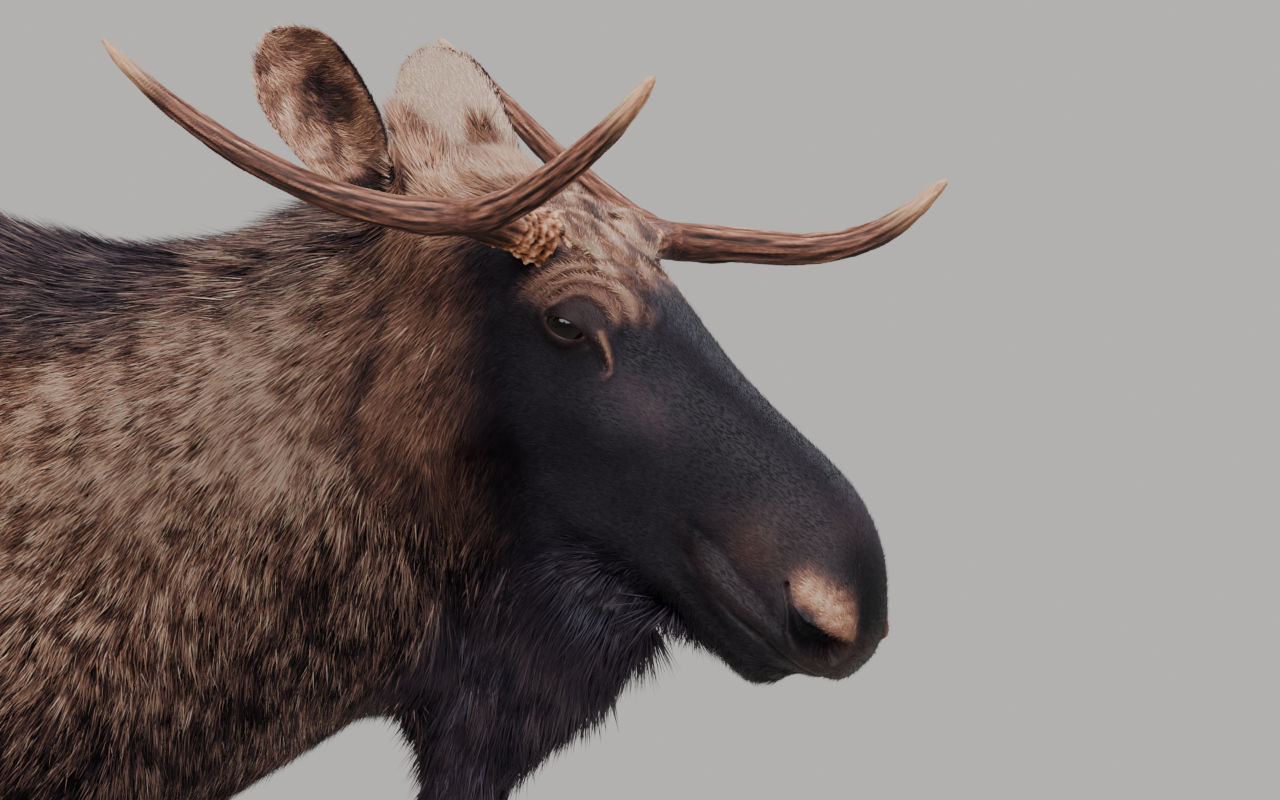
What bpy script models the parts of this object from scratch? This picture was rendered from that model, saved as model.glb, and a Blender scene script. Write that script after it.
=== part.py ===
"""A young bull moose at life size, standing still, as a museum would show it.

Units are metres and +Z is up. The animal faces +X, its right side is towards -Y, and it
stands on z = 0. The head hangs 45 degrees nose down and is turned a little to its right.
Flesh is modelled as overlapping lofts that are fused, smoothed and thinned, and then parted
with thin cuts into head, neck, trunk and legs. Ears, bell, tail, eyes, antlers and hooves are
solids of their own, let into the flesh that carries them.
"""

import math

import bmesh
import bpy
import numpy as np
from mathutils import Matrix, Vector

# ---- driving dimensions -------------------------------------------------------------------
WITHERS = 1.83  # height of the shoulder hump over the floor, coat included
EYES = Vector((0.752, -0.090, 1.671))  # midway between the eyes
HEAD_YAW = math.radians(15)  # turned towards its own right
HEAD_PITCH = math.radians(45)  # nose down
EYE_APART = 0.206  # between the centres of the eyeballs
EYEBALL = 0.0235  # radius
EAR_LENGTH = 0.252
EAR_WIDTH = 0.120
HOOF_LENGTH = 0.135
STRIDE = 0.055  # how far a hoof stands ahead of or behind its neutral place
GAP = 0.0004  # left between pieces that meet
VOXEL = 0.009  # grain of the fused flesh
RING = 28  # points round each section
HEAD_TRIANGLES = 1420  # aimed at, before the seats are cut
BODY_TRIANGLES = 2000
EAR_TRIANGLES = 260
ANTLER_TRIANGLES = 500

# ---- colours and finish: (red, green, blue), roughness ------------------------------------
FINISHES = {
    "coat_brown": ((0.115, 0.068, 0.042), 0.85),
    "coat_face": ((0.022, 0.018, 0.019), 0.75),
    "coat_leg": ((0.240, 0.190, 0.145), 0.85),
    "coat_ear": ((0.190, 0.135, 0.090), 0.85),
    "antler": ((0.200, 0.090, 0.055), 0.55),
    "hoof": ((0.030, 0.025, 0.022), 0.45),
    "eye": ((0.008, 0.006, 0.006), 0.08),
}


# ---- scene helpers ------------------------------------------------------------------------
def clear_scene():
    for item in list(bpy.data.objects):
        bpy.data.objects.remove(item)


def collection(name):
    made = bpy.data.collections.new(name)
    bpy.context.scene.collection.children.link(made)
    return made


def finish(name):
    colour, roughness = FINISHES[name]
    material = bpy.data.materials.new(name)
    material.use_nodes = True
    shader = material.node_tree.nodes["Principled BSDF"]
    shader.inputs["Base Color"].default_value = (*colour, 1.0)
    shader.inputs["Roughness"].default_value = roughness
    return material


def place(bm, name, home):
    """Turns a bmesh into an object of triangles in the collection home."""
    mesh = bpy.data.meshes.new(name)
    bmesh.ops.triangulate(bm, faces=bm.faces)
    bmesh.ops.recalc_face_normals(bm, faces=bm.faces)
    bm.to_mesh(mesh)
    bm.free()
    made = bpy.data.objects.new(name, mesh)
    home.objects.link(made)
    return made


def baked(source, name, home):
    """A plain mesh copy of an object with its modifiers applied, after which source is gone."""
    bpy.context.view_layer.update()
    graph = bpy.context.evaluated_depsgraph_get()
    mesh = bpy.data.meshes.new_from_object(source.evaluated_get(graph))
    mesh.transform(source.matrix_world)
    made = bpy.data.objects.new(name, mesh)
    home.objects.link(made)
    bpy.data.objects.remove(source)
    return made


def helper(made):
    """Marks a cutter or guide, which is no part of the animal."""
    made.hide_render = True
    made.display_type = "WIRE"
    return made


def dress(made, material):
    made.data.materials.clear()
    made.data.materials.append(material)
    made.data.shade_smooth()
    made.data.set_sharp_from_angle(angle=math.radians(50))


# ---- making shapes ------------------------------------------------------------------------
def flow(stations, steps):
    """Smooth rows through the station rows, as a Catmull-Rom spline with steps a span."""
    rows = np.array(stations, float)
    ends = np.vstack([2 * rows[0] - rows[1], rows, 2 * rows[-1] - rows[-2]])
    made = []
    for i in range(1, len(ends) - 2):
        before, a, b, after = ends[i - 1 : i + 3]
        for t in np.arange(steps) / steps:
            made.append(
                0.5
                * (
                    2 * a
                    + (b - before) * t
                    + (2 * before - 5 * a + 4 * b - after) * t**2
                    + (3 * a - before - 3 * b + after) * t**3
                )
            )
    return [*made, rows[-1]]


def section(half_width, above, below, crown=2.0, keel=2.0, count=RING):
    """(side, up) points of a rounded section. A crown or keel under 2 comes to a ridge."""
    points = []
    for k in range(count):
        angle = 2 * math.pi * k / count
        side, up = math.cos(angle), math.sin(angle)
        power = crown if up > 0 else keel
        reach = above if up > 0 else below
        points.append(
            (
                half_width * math.copysign(abs(side) ** (2 / power), side),
                reach * math.copysign(abs(up) ** (2 / power), up),
            )
        )
    return points


def loft(rings, name, home):
    """A closed skin over rings of equally many points, with flat ends."""
    bm = bmesh.new()
    loops = [[bm.verts.new(p) for p in ring] for ring in rings]
    for near, far in zip(loops, loops[1:]):
        for k in range(len(near)):
            n = (k + 1) % len(near)
            bm.faces.new((near[k], near[n], far[n], far[k]))
    bm.faces.new(loops[0][::-1])
    bm.faces.new(loops[-1])
    return place(bm, name, home)


def upright_ring(x, y, widest, points):
    """A section standing across the body at x, centred on y, its widest level at widest."""
    return [Vector((x, y + side, widest + up)) for side, up in points]


def swept(path, radii, name, home, sides=10):
    """A tapering round solid along path, closed with a domed tip, from a Curve and its bevel."""
    curve = bpy.data.curves.new(name, "CURVE")
    curve.dimensions = "3D"
    curve.bevel_depth = 1.0
    curve.bevel_resolution = (sides - 4) // 2
    curve.use_fill_caps = True
    spline = curve.splines.new("POLY")
    spline.points.add(len(path) - 1)
    for point, at, radius in zip(spline.points, path, radii):
        point.co = (*at, 1.0)
        point.radius = radius
    made = bpy.data.objects.new(name + "_curve", curve)
    home.objects.link(made)
    solid = baked(made, name, home)
    bm = bmesh.new()
    bm.from_mesh(solid.data)
    bmesh.ops.remove_doubles(bm, verts=bm.verts, dist=1e-5)
    bmesh.ops.recalc_face_normals(bm, faces=bm.faces)
    bm.to_mesh(solid.data)
    bm.free()
    return solid


def ball(name, home, at, radii, turn=None, segments=20, rings=12):
    """An ellipsoid of the given radii, turned by a rotation matrix."""
    bm = bmesh.new()
    bmesh.ops.create_uvsphere(bm, u_segments=segments, v_segments=rings, radius=1.0)
    bmesh.ops.transform(bm, matrix=Matrix.Diagonal((*radii, 1.0)), verts=bm.verts)
    if turn is not None:
        bmesh.ops.transform(bm, matrix=turn.to_4x4(), verts=bm.verts)
    bmesh.ops.translate(bm, vec=Vector(at), verts=bm.verts)
    return place(bm, name, home)


def fused(shells, name, home, voxel, smoothing=4):
    """One skin round all the shells, with the creases between them eased."""
    bm = bmesh.new()
    for shell in shells:
        bm.from_mesh(shell.data)
        bpy.data.objects.remove(shell)
    whole = place(bm, name + "_shells", home)
    remesh = whole.modifiers.new("Fuse", "REMESH")
    remesh.mode = "VOXEL"
    remesh.voxel_size = voxel
    ease = whole.modifiers.new("Ease", "SMOOTH")
    ease.factor = 0.5
    ease.iterations = smoothing
    return baked(whole, name, home)


def thinned(source, name, home, triangles):
    """A copy with about that many triangles."""
    copy = source.copy()
    copy.data = source.data.copy()
    home.objects.link(copy)
    faces = sum(len(p.vertices) - 2 for p in copy.data.polygons)
    decimate = copy.modifiers.new("Thin", "DECIMATE")
    decimate.ratio = min(1.0, triangles / faces)
    return baked(copy, name, home)


def grown(source, by, home):
    """A helper copy with its surface moved out by a distance."""
    copy = source.copy()
    copy.data = source.data.copy()
    home.objects.link(copy)
    displace = copy.modifiers.new("Grow", "DISPLACE")
    displace.mid_level = 0.0
    displace.strength = by
    return helper(baked(copy, source.name + "_grown", home))


def carve(host, cutter, operation="DIFFERENCE"):
    """Applies one Boolean to host and returns the result, which takes host's name and home."""
    name, home = host.name, host.users_collection[0]
    boolean = host.modifiers.new("Carve", "BOOLEAN")
    boolean.operation = operation
    boolean.object = cutter
    host.name = name + "_uncut"
    return baked(host, name, home)


def seat(piece, host, cutters):
    """Lets piece into host, with GAP of clearance all round."""
    return carve(host, grown(piece, GAP, cutters))


def half_space(name, cutters, point, normal, size=4.0):
    """A large box whose one face holds point and that lies on the side that normal points to."""
    normal = Vector(normal).normalized()
    bm = bmesh.new()
    bmesh.ops.create_cube(bm, size=size)
    bmesh.ops.translate(bm, vec=(0, 0, size / 2), verts=bm.verts)
    turn = normal.to_track_quat("Z", "Y").to_matrix().to_4x4()
    bmesh.ops.transform(bm, matrix=turn, verts=bm.verts)
    bmesh.ops.translate(bm, vec=Vector(point), verts=bm.verts)
    return helper(place(bm, name, cutters))


def block(name, cutters, low, high):
    """A box between two corners."""
    bm = bmesh.new()
    bmesh.ops.create_cube(bm, size=1.0)
    size = Vector(high) - Vector(low)
    bmesh.ops.transform(bm, matrix=Matrix.Diagonal((*size, 1.0)), verts=bm.verts)
    bmesh.ops.translate(bm, vec=(Vector(high) + Vector(low)) / 2, verts=bm.verts)
    return helper(place(bm, name, cutters))


# ---- the head's own frame -----------------------------------------------------------------
AHEAD = Vector((math.cos(HEAD_YAW), -math.sin(HEAD_YAW), 0.0))  # level, where it looks
LEFT = Vector((math.sin(HEAD_YAW), math.cos(HEAD_YAW), 0.0))
UP = Vector((0.0, 0.0, 1.0))
MUZZLEWARD = AHEAD * math.cos(HEAD_PITCH) - UP * math.sin(HEAD_PITCH)
BROWWARD = AHEAD * math.sin(HEAD_PITCH) + UP * math.cos(HEAD_PITCH)
HEAD_TURN = Matrix((MUZZLEWARD, LEFT, BROWWARD)).transposed()


def on_head(along, left, brow):
    """A point from its distances along the face, to its left and towards the brow."""
    return EYES + MUZZLEWARD * along + LEFT * left + BROWWARD * brow


def level_head(ahead, left, up):
    """A point from level distances off the eyes, in the direction that the head looks."""
    return EYES + AHEAD * ahead + LEFT * left + UP * up


# ---- flesh forms --------------------------------------------------------------------------
# x, height of the back, height of the belly, height of the widest level, half width
TRUNK = [
    (0.315, 1.500, 1.200, 1.34, 0.060),
    (0.270, 1.620, 1.080, 1.34, 0.142),
    (0.190, 1.720, 1.008, 1.33, 0.200),
    (0.090, 1.790, 0.968, 1.32, 0.230),
    (-0.030, WITHERS, 0.948, 1.30, 0.246),
    (-0.180, WITHERS - 0.022, 0.945, 1.28, 0.262),
    (-0.380, 1.720, 0.952, 1.26, 0.280),
    (-0.600, 1.656, 0.972, 1.26, 0.286),
    (-0.800, 1.634, 1.008, 1.28, 0.274),
    (-0.960, 1.618, 1.068, 1.32, 0.250),
    (-1.080, 1.580, 1.155, 1.36, 0.212),
    (-1.170, 1.530, 1.250, 1.39, 0.152),
    (-1.215, 1.475, 1.330, 1.40, 0.080),
]

# x, sideways shift, height of the crest, height of the throat, half width
NECK = [
    (-0.040, 0.000, 1.790, 1.080, 0.205),
    (0.100, 0.000, 1.785, 1.050, 0.205),
    (0.220, -0.004, 1.765, 1.110, 0.190),
    (0.330, -0.014, 1.775, 1.172, 0.172),
    (0.430, -0.028, 1.812, 1.230, 0.158),
    (0.520, -0.045, 1.836, 1.284, 0.146),
    (0.590, -0.058, 1.815, 1.345, 0.125),
]

# along the face, brow line, palate line, widest level, half width
SKULL = [
    (-0.255, 0.020, -0.140, -0.060, 0.070),
    (-0.215, 0.052, -0.180, -0.050, 0.098),
    (-0.150, 0.066, -0.212, -0.045, 0.114),
    (-0.080, 0.072, -0.215, -0.035, 0.119),
    (-0.020, 0.072, -0.203, -0.025, 0.114),
    (0.045, 0.074, -0.180, -0.030, 0.098),
    (0.110, 0.072, -0.150, -0.035, 0.080),
    (0.180, 0.074, -0.122, -0.030, 0.068),
    (0.245, 0.080, -0.106, -0.025, 0.066),
    (0.305, 0.081, -0.102, -0.025, 0.068),
    (0.358, 0.066, -0.104, -0.030, 0.070),
    (0.398, 0.038, -0.103, -0.035, 0.063),
    (0.426, 0.006, -0.094, -0.042, 0.048),
    (0.441, -0.020, -0.078, -0.048, 0.032),
]

# along the face, top, bottom, half width
JAW = [
    (-0.130, -0.090, -0.205, 0.074),
    (0.000, -0.090, -0.200, 0.070),
    (0.100, -0.085, -0.186, 0.058),
    (0.200, -0.080, -0.168, 0.046),
    (0.270, -0.080, -0.156, 0.040),
    (0.325, -0.085, -0.152, 0.046),
    (0.366, -0.092, -0.147, 0.044),
    (0.392, -0.102, -0.132, 0.030),
]

# height, x of the middle, half depth along x, half width, distance from the midline
FORELEG = [
    (1.500, 0.130, 0.090, 0.045, 0.140),
    (1.400, 0.150, 0.150, 0.066, 0.156),
    (1.250, 0.150, 0.165, 0.078, 0.168),
    (1.120, 0.105, 0.150, 0.078, 0.172),
    (1.010, 0.060, 0.115, 0.068, 0.171),
    (0.900, 0.048, 0.082, 0.056, 0.168),
    (0.760, 0.052, 0.062, 0.047, 0.162),
    (0.620, 0.060, 0.050, 0.041, 0.158),
    (0.535, 0.064, 0.054, 0.047, 0.156),
    (0.465, 0.058, 0.046, 0.042, 0.155),
    (0.390, 0.052, 0.035, 0.031, 0.154),
    (0.250, 0.052, 0.034, 0.030, 0.153),
    (0.170, 0.055, 0.043, 0.039, 0.152),
    (0.115, 0.072, 0.038, 0.038, 0.152),
    (0.070, 0.092, 0.044, 0.045, 0.152),
    (0.035, 0.105, 0.040, 0.042, 0.152),
]
HINDLEG = [
    (1.520, -0.930, 0.120, 0.060, 0.120),
    (1.400, -0.960, 0.190, 0.092, 0.140),
    (1.270, -0.965, 0.212, 0.104, 0.153),
    (1.130, -0.940, 0.200, 0.100, 0.160),
    (1.010, -0.945, 0.160, 0.086, 0.162),
    (0.900, -0.985, 0.118, 0.068, 0.160),
    (0.790, -1.045, 0.082, 0.053, 0.156),
    (0.700, -1.098, 0.068, 0.046, 0.154),
    (0.640, -1.122, 0.066, 0.046, 0.153),
    (0.570, -1.124, 0.052, 0.042, 0.152),
    (0.490, -1.114, 0.040, 0.034, 0.151),
    (0.320, -1.104, 0.036, 0.032, 0.150),
    (0.180, -1.096, 0.045, 0.040, 0.150),
    (0.120, -1.078, 0.039, 0.039, 0.150),
    (0.072, -1.058, 0.045, 0.046, 0.150),
    (0.036, -1.045, 0.041, 0.043, 0.150),
]

# leg name: stations, side (-1 is its right), how far the hoof is shifted along x
LEGS = {
    "front_right": (FORELEG, -1, 0.7 * STRIDE),
    "front_left": (FORELEG, 1, -1.1 * STRIDE),
    "rear_right": (HINDLEG, -1, -0.9 * STRIDE),
    "rear_left": (HINDLEG, 1, 1.3 * STRIDE),
}
HIP_HEIGHT = 1.20  # below this a leg swings with its hoof
KNEE = {"front": 0.535, "rear": 0.655}
ELBOW = {"front": 0.940, "rear": 0.985}
CORONET = 0.072  # height of the hoof's upper edge, at its middle
CORONET_SLOPE = math.radians(20)  # lower at the heel


def trunk_form(home):
    rings = [
        upright_ring(
            x, 0, widest, section(half, top - widest, widest - bottom, 1.75, 2.15)
        )
        for x, top, bottom, widest, half in flow(TRUNK, 3)
    ]
    return loft(rings, "trunk_form", home)


def neck_form(home):
    rings = []
    for x, shift, top, bottom, half in flow(NECK, 3):
        middle = 0.48 * top + 0.52 * bottom
        rings.append(
            upright_ring(
                x, shift, middle, section(half, top - middle, middle - bottom, 1.8, 1.9)
            )
        )
    return loft(rings, "neck_form", home)


def skull_form(home):
    rings = []
    for along, brow, palate, widest, half in flow(SKULL, 3):
        outline = section(half, brow - widest, widest - palate, 2.25, 2.1)
        rings.append([on_head(along, side, widest + up) for side, up in outline])
    return loft(rings, "skull_form", home)


def jaw_form(home):
    rings = []
    for along, top, bottom, half in flow(JAW, 3):
        middle = (top + bottom) / 2
        outline = section(half, top - middle, middle - bottom, 2.4, 2.0)
        rings.append([on_head(along, side, middle + up) for side, up in outline])
    return loft(rings, "jaw_form", home)


def face_forms(home):
    """Throat, and the brows, cheeks, antler stalks and nostril wings of both sides."""
    made = []
    for side in (-1, 1):
        for name, at, radii in (
            ("brow", (-0.012, 0.084, 0.012), (0.052, 0.026, 0.036)),
            ("orbit", (-0.002, 0.097, -0.002), (0.046, 0.022, 0.038)),
            ("stalk", (-0.078, 0.070, 0.046), (0.045, 0.046, 0.036)),
            ("cheek", (-0.085, 0.078, -0.115), (0.115, 0.042, 0.092)),
            ("cheekbone", (0.055, 0.078, -0.050), (0.085, 0.026, 0.026)),
            ("nostril_wing", (0.374, 0.052, -0.040), (0.052, 0.024, 0.046)),
            ("lip", (0.325, 0.050, -0.084), (0.085, 0.026, 0.024)),
        ):
            along, out, brow = at
            centre = on_head(along, side * out, brow)
            made.append(ball(f"{name}_{side}", home, centre, radii, HEAD_TURN))
    throat = on_head(0.020, 0.0, -0.200)
    made.append(ball("throat", home, throat, (0.110, 0.058, 0.060), HEAD_TURN))
    return made


def leg_shift(height, stride):
    """How far the stride carries the leg along x at a height."""
    return stride * max(0.0, 1 - height / HIP_HEIGHT)


def leg_form(name, home):
    stations, side, stride = LEGS[name]
    rings = []
    for height, x, depth, half, out in flow(stations, 2):
        x += leg_shift(height, stride)
        outline = section(depth, half, half, 2.0, 2.0)
        rings.append(
            [Vector((x + fore, side * out + across, height)) for fore, across in outline]
        )
    return loft(rings, f"leg_form_{name}", home)


def flesh_form(home):
    """The whole animal but for ears, bell and tail, as one dense skin."""
    shells = [trunk_form(home), neck_form(home), skull_form(home), jaw_form(home)]
    shells += face_forms(home)
    shells += [leg_form(name, home) for name in LEGS]
    return fused(shells, "flesh", home, VOXEL)


# ---- parting the flesh --------------------------------------------------------------------
NAPE = on_head(-0.235, 0.0, -0.060)  # on the cut between head and neck
NAPE_NORMAL = AHEAD * math.cos(math.radians(14)) - UP * math.sin(math.radians(14))
NECK_ROOT = Vector((0.200, 0.0, 1.450))  # on the cut between neck and trunk
NECK_NORMAL = Vector((0.954, 0.0, 0.298))
CROP = 0.05  # how far past its cut the head is kept until it is thinned
HEAD_ROOM = 1.4  # side of the cube ahead of the nape, too short to reach the hooves
LEG_ROOM = {  # low and high corners of each leg's box, for the left side
    "front": ((-0.200, 0.075, -0.05), (0.330, 0.330, ELBOW["front"])),
    "rear": ((-1.400, 0.055, -0.05), (-0.780, 0.360, ELBOW["rear"])),
}


def leg_box(name, cutters, grow):
    """The room that a leg's solids fill, grown on its inner and upper faces."""
    end, side = name.split("_")
    low, high = (Vector(corner) for corner in LEG_ROOM[end])
    low.y -= grow
    high.z += grow
    if side == "right":
        low.y, high.y = -high.y, -low.y
    return block(f"room_{name}_{grow}", cutters, low, high)


def part_flesh(flesh, parts, cutters):
    """Cuts the dense flesh into head, neck, trunk and the legs' upper and lower lengths."""
    behind_nape = NAPE - NAPE_NORMAL * CROP
    near_head = half_space("near_head", cutters, behind_nape, NAPE_NORMAL, HEAD_ROOM)
    dense_head = flesh.copy()
    dense_head.data = flesh.data.copy()
    dense_head.name = "dense_head"
    cutters.objects.link(dense_head)
    dense_head = carve(dense_head, near_head, "INTERSECT")
    head = thinned(dense_head, "head", parts, HEAD_TRIANGLES)
    bpy.data.objects.remove(dense_head)
    body = thinned(flesh, "body", cutters, BODY_TRIANGLES)

    past_nape = NAPE + NAPE_NORMAL * GAP
    head_side = half_space("head_side", cutters, past_nape, NAPE_NORMAL, HEAD_ROOM)
    neck_side = half_space("neck_side", cutters, NAPE, -NAPE_NORMAL)
    neck_front = half_space("neck_front", cutters, NECK_ROOT, NECK_NORMAL)
    trunk_side = half_space(
        "trunk_side", cutters, NECK_ROOT - NECK_NORMAL * GAP, -NECK_NORMAL
    )
    made = {"head": carve(head, head_side, "INTERSECT")}

    def piece(name, *steps):
        """A copy of the body put through (cutter, operation) steps."""
        copy = body.copy()
        copy.data = body.data.copy()
        copy.name = name
        parts.objects.link(copy)
        for cutter, operation in steps:
            copy = carve(copy, cutter, operation)
        copy.name = name
        return copy

    made["neck"] = piece(
        "neck", (neck_front, "INTERSECT"), (neck_side, "INTERSECT")
    )
    wide = [leg_box(name, cutters, GAP) for name in LEGS]
    made["trunk"] = piece(
        "trunk", (trunk_side, "INTERSECT"), *[(box, "DIFFERENCE") for box in wide]
    )
    for name in LEGS:
        end = name.split("_")[0]
        room = leg_box(name, cutters, 0.0)
        knee = Vector((0, 0, KNEE[end]))
        above = half_space(f"above_knee_{name}", cutters, knee + UP * GAP, UP)
        below = half_space(f"below_knee_{name}", cutters, knee, -UP)
        hoof_top, slope = coronet(name)
        over_hoof = half_space(
            f"over_hoof_{name}", cutters, hoof_top + slope * GAP, slope
        )
        made[f"leg_{name}_upper"] = piece(
            f"leg_{name}_upper", (room, "INTERSECT"), (above, "INTERSECT")
        )
        made[f"leg_{name}_lower"] = piece(
            f"leg_{name}_lower",
            (room, "INTERSECT"),
            (below, "INTERSECT"),
            (over_hoof, "INTERSECT"),
        )
    bpy.data.objects.remove(body)
    return made


# ---- hooves -------------------------------------------------------------------------------
# share of the length from the heel, half width, height
CLAW = [
    (0.00, 0.0130, 0.055),
    (0.10, 0.0205, 0.085),
    (0.42, 0.0228, 0.105),
    (0.74, 0.0195, 0.062),
    (0.92, 0.0115, 0.030),
    (1.00, 0.0040, 0.016),
]
CLAW_APART = 0.0475  # between the middles of a foot's two claws
HOOF_LEAD = 0.012  # how far the hoof's middle stands ahead of the leg's end
HEEL_SHARE = 0.45  # of the hoof's length, behind its middle
SOLE_EDGE = 0.004  # height of the hoof's lowest, upright edge
FETLOCK = -4  # row of a leg's stations where the dewclaws grow


def foot_place(name):
    """Where the middle of a foot stands on the floor."""
    stations, side, stride = LEGS[name]
    height, x, _, _, out = stations[-1]
    return Vector((x + leg_shift(height, stride) + HOOF_LEAD, side * out, 0.0))


def coronet(name):
    """A point on the plane of the hoof's upper edge, and the plane's upward normal."""
    slope = Vector((-math.sin(CORONET_SLOPE), 0.0, math.cos(CORONET_SLOPE)))
    return foot_place(name) + Vector((-HOOF_LEAD, 0.0, CORONET)), slope


def claw_ring(x, half, height):
    """An arched section with a flat sole."""
    ring = [Vector((x, -half, 0.0))]
    for k in range(6):
        angle = math.pi * (1 - k / 5)
        rise = math.sin(angle) ** 0.75
        z = SOLE_EDGE + (height - SOLE_EDGE) * rise
        ring.append(Vector((x, half * math.cos(angle), z)))
    ring.append(Vector((x, half, 0.0)))
    return ring


def claws(name, parts, cutters):
    """The two main claws of a foot, cut off level with the coronet."""
    foot = foot_place(name)
    point, slope = coronet(name)
    under = half_space(f"under_coronet_{name}", cutters, point, -slope)
    heel = -HEEL_SHARE * HOOF_LENGTH
    made = {}
    for inner in (True, False):
        side = LEGS[name][1] * (-1 if inner else 1)
        rings = [
            [
                p + foot + Vector((0, side * CLAW_APART / 2, 0))
                for p in claw_ring(heel + share * HOOF_LENGTH, half, height)
            ]
            for share, half, height in CLAW
        ]
        key = f"hoof_{name}_{'inner' if inner else 'outer'}"
        made[key] = carve(loft(rings, key, parts), under, "INTERSECT")
    return made


def dewclaws(name, parts):
    """The two small claws behind the fetlock, as blunt cones that point down and back."""
    stations, side, stride = LEGS[name]
    height, x, depth, _, out = stations[FETLOCK]
    x += leg_shift(height, stride)
    made = {}
    for inner in (True, False):
        across = side * (-1 if inner else 1)
        root = Vector((x - 0.62 * depth, side * out + across * 0.020, height - 0.020))
        tip = root + Vector((-0.022, across * 0.005, -0.038))
        path = [root.lerp(tip, t) for t in (0.0, 0.5, 0.85, 1.0)]
        key = f"dewclaw_{name}_{'inner' if inner else 'outer'}"
        radii = (0.0125, 0.0130, 0.0090, 0.003)
        made[key] = swept(path, radii, key, parts, sides=8)
    return made


# ---- bell and tail ------------------------------------------------------------------------
# along the bell from its root: x, y, height, half length fore and aft, half thickness
BELL = [
    (0.630, -0.058, 1.475, 0.070, 0.046),
    (0.650, -0.058, 1.428, 0.104, 0.050),
    (0.671, -0.060, 1.378, 0.140, 0.048),
    (0.653, -0.056, 1.335, 0.132, 0.045),
    (0.630, -0.051, 1.290, 0.108, 0.042),
    (0.604, -0.045, 1.245, 0.078, 0.038),
    (0.580, -0.043, 1.195, 0.053, 0.032),
    (0.560, -0.041, 1.140, 0.030, 0.022),
    (0.550, -0.041, 1.095, 0.015, 0.012),
    (0.546, -0.041, 1.068, 0.006, 0.005),
]
TAIL = [
    (-1.165, 0.0, 1.520, 0.030, 0.040),
    (-1.205, 0.0, 1.490, 0.030, 0.038),
    (-1.232, 0.0, 1.450, 0.026, 0.032),
    (-1.246, 0.0, 1.405, 0.019, 0.022),
    (-1.252, 0.0, 1.378, 0.008, 0.010),
]


def hanging(stations, turn, name, parts):
    """A flap or stub that hangs down, of level sections turned about the vertical."""
    fore = Vector((math.cos(turn), -math.sin(turn), 0.0))
    across = Vector((math.sin(turn), math.cos(turn), 0.0))
    rings = []
    for x, y, height, length, thick in stations:
        outline = section(length, thick, thick, count=14)
        rings.append([Vector((x, y, height)) + fore * a + across * b for a, b in outline])
    return loft(rings, name, parts)


# ---- ears ---------------------------------------------------------------------------------
# share of the ear's length, share of its width, how far the rim wraps round, in degrees
PINNA = [
    (0.00, 0.28, 165),
    (0.10, 0.44, 150),
    (0.25, 0.78, 118),
    (0.45, 1.00, 92),
    (0.65, 0.97, 72),
    (0.82, 0.76, 58),
    (0.94, 0.46, 48),
    (1.00, 0.16, 40),
]
EAR_WALL = 0.011  # skin and fur on both faces
EAR_ROOT = (-0.190, 0.092, 0.098)  # ahead, out and up of the eyes, with the head level
EAR_POINTS = {  # ahead, out and up
    "right": Vector((-0.53, 0.20, 0.80)),
    "left": Vector((-0.57, 0.33, 0.82)),
}
EAR_OPENS = Vector((-0.12, 0.97, -0.08))


def ear(side, label, parts):
    """A cupped leaf: arcs round the ear's axis that open out from a rolled root."""
    name = f"ear_{label}"
    ahead, out, up = EAR_ROOT
    root = level_head(ahead, side * out, up)

    def turned(v):
        return (AHEAD * v.x + LEFT * (side * v.y) + UP * v.z).normalized()

    axis = turned(EAR_POINTS[label])
    opens = turned(EAR_OPENS)
    opens = (opens - axis * opens.dot(axis)).normalized()
    across = axis.cross(opens)
    bm = bmesh.new()
    rows = []
    for share, width, wrap in flow(PINNA, 2):
        reach = math.radians(min(wrap, 170))
        chord = math.sin(reach) if reach < math.pi / 2 else 1.0
        radius = EAR_WIDTH / 2 * width / chord
        centre = root + axis * (share * EAR_LENGTH)
        row = []
        for k in range(11):
            angle = reach * (k / 5 - 1)
            row.append(
                bm.verts.new(
                    centre
                    + across * (radius * math.sin(angle))
                    + opens * (radius * (0.72 - math.cos(angle)))
                )
            )
        rows.append(row)
    for near, far in zip(rows, rows[1:]):
        for k in range(len(near) - 1):
            bm.faces.new((near[k], near[k + 1], far[k + 1], far[k]))
    sheet = place(bm, name + "_sheet", parts)
    wall = sheet.modifiers.new("Wall", "SOLIDIFY")
    wall.thickness = EAR_WALL
    wall.offset = 0.0
    shell = baked(sheet, name + "_shell", parts)
    plug = ball(
        name + "_plug",
        parts,
        root - axis * 0.004,
        (0.044, 0.036, 0.032),
        axis.to_track_quat("X", "Z").to_matrix(),
    )
    whole = fused([shell, plug], name + "_dense", parts, 0.004, smoothing=2)
    thin = thinned(whole, name, parts, EAR_TRIANGLES)
    bpy.data.objects.remove(whole)
    return thin


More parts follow.
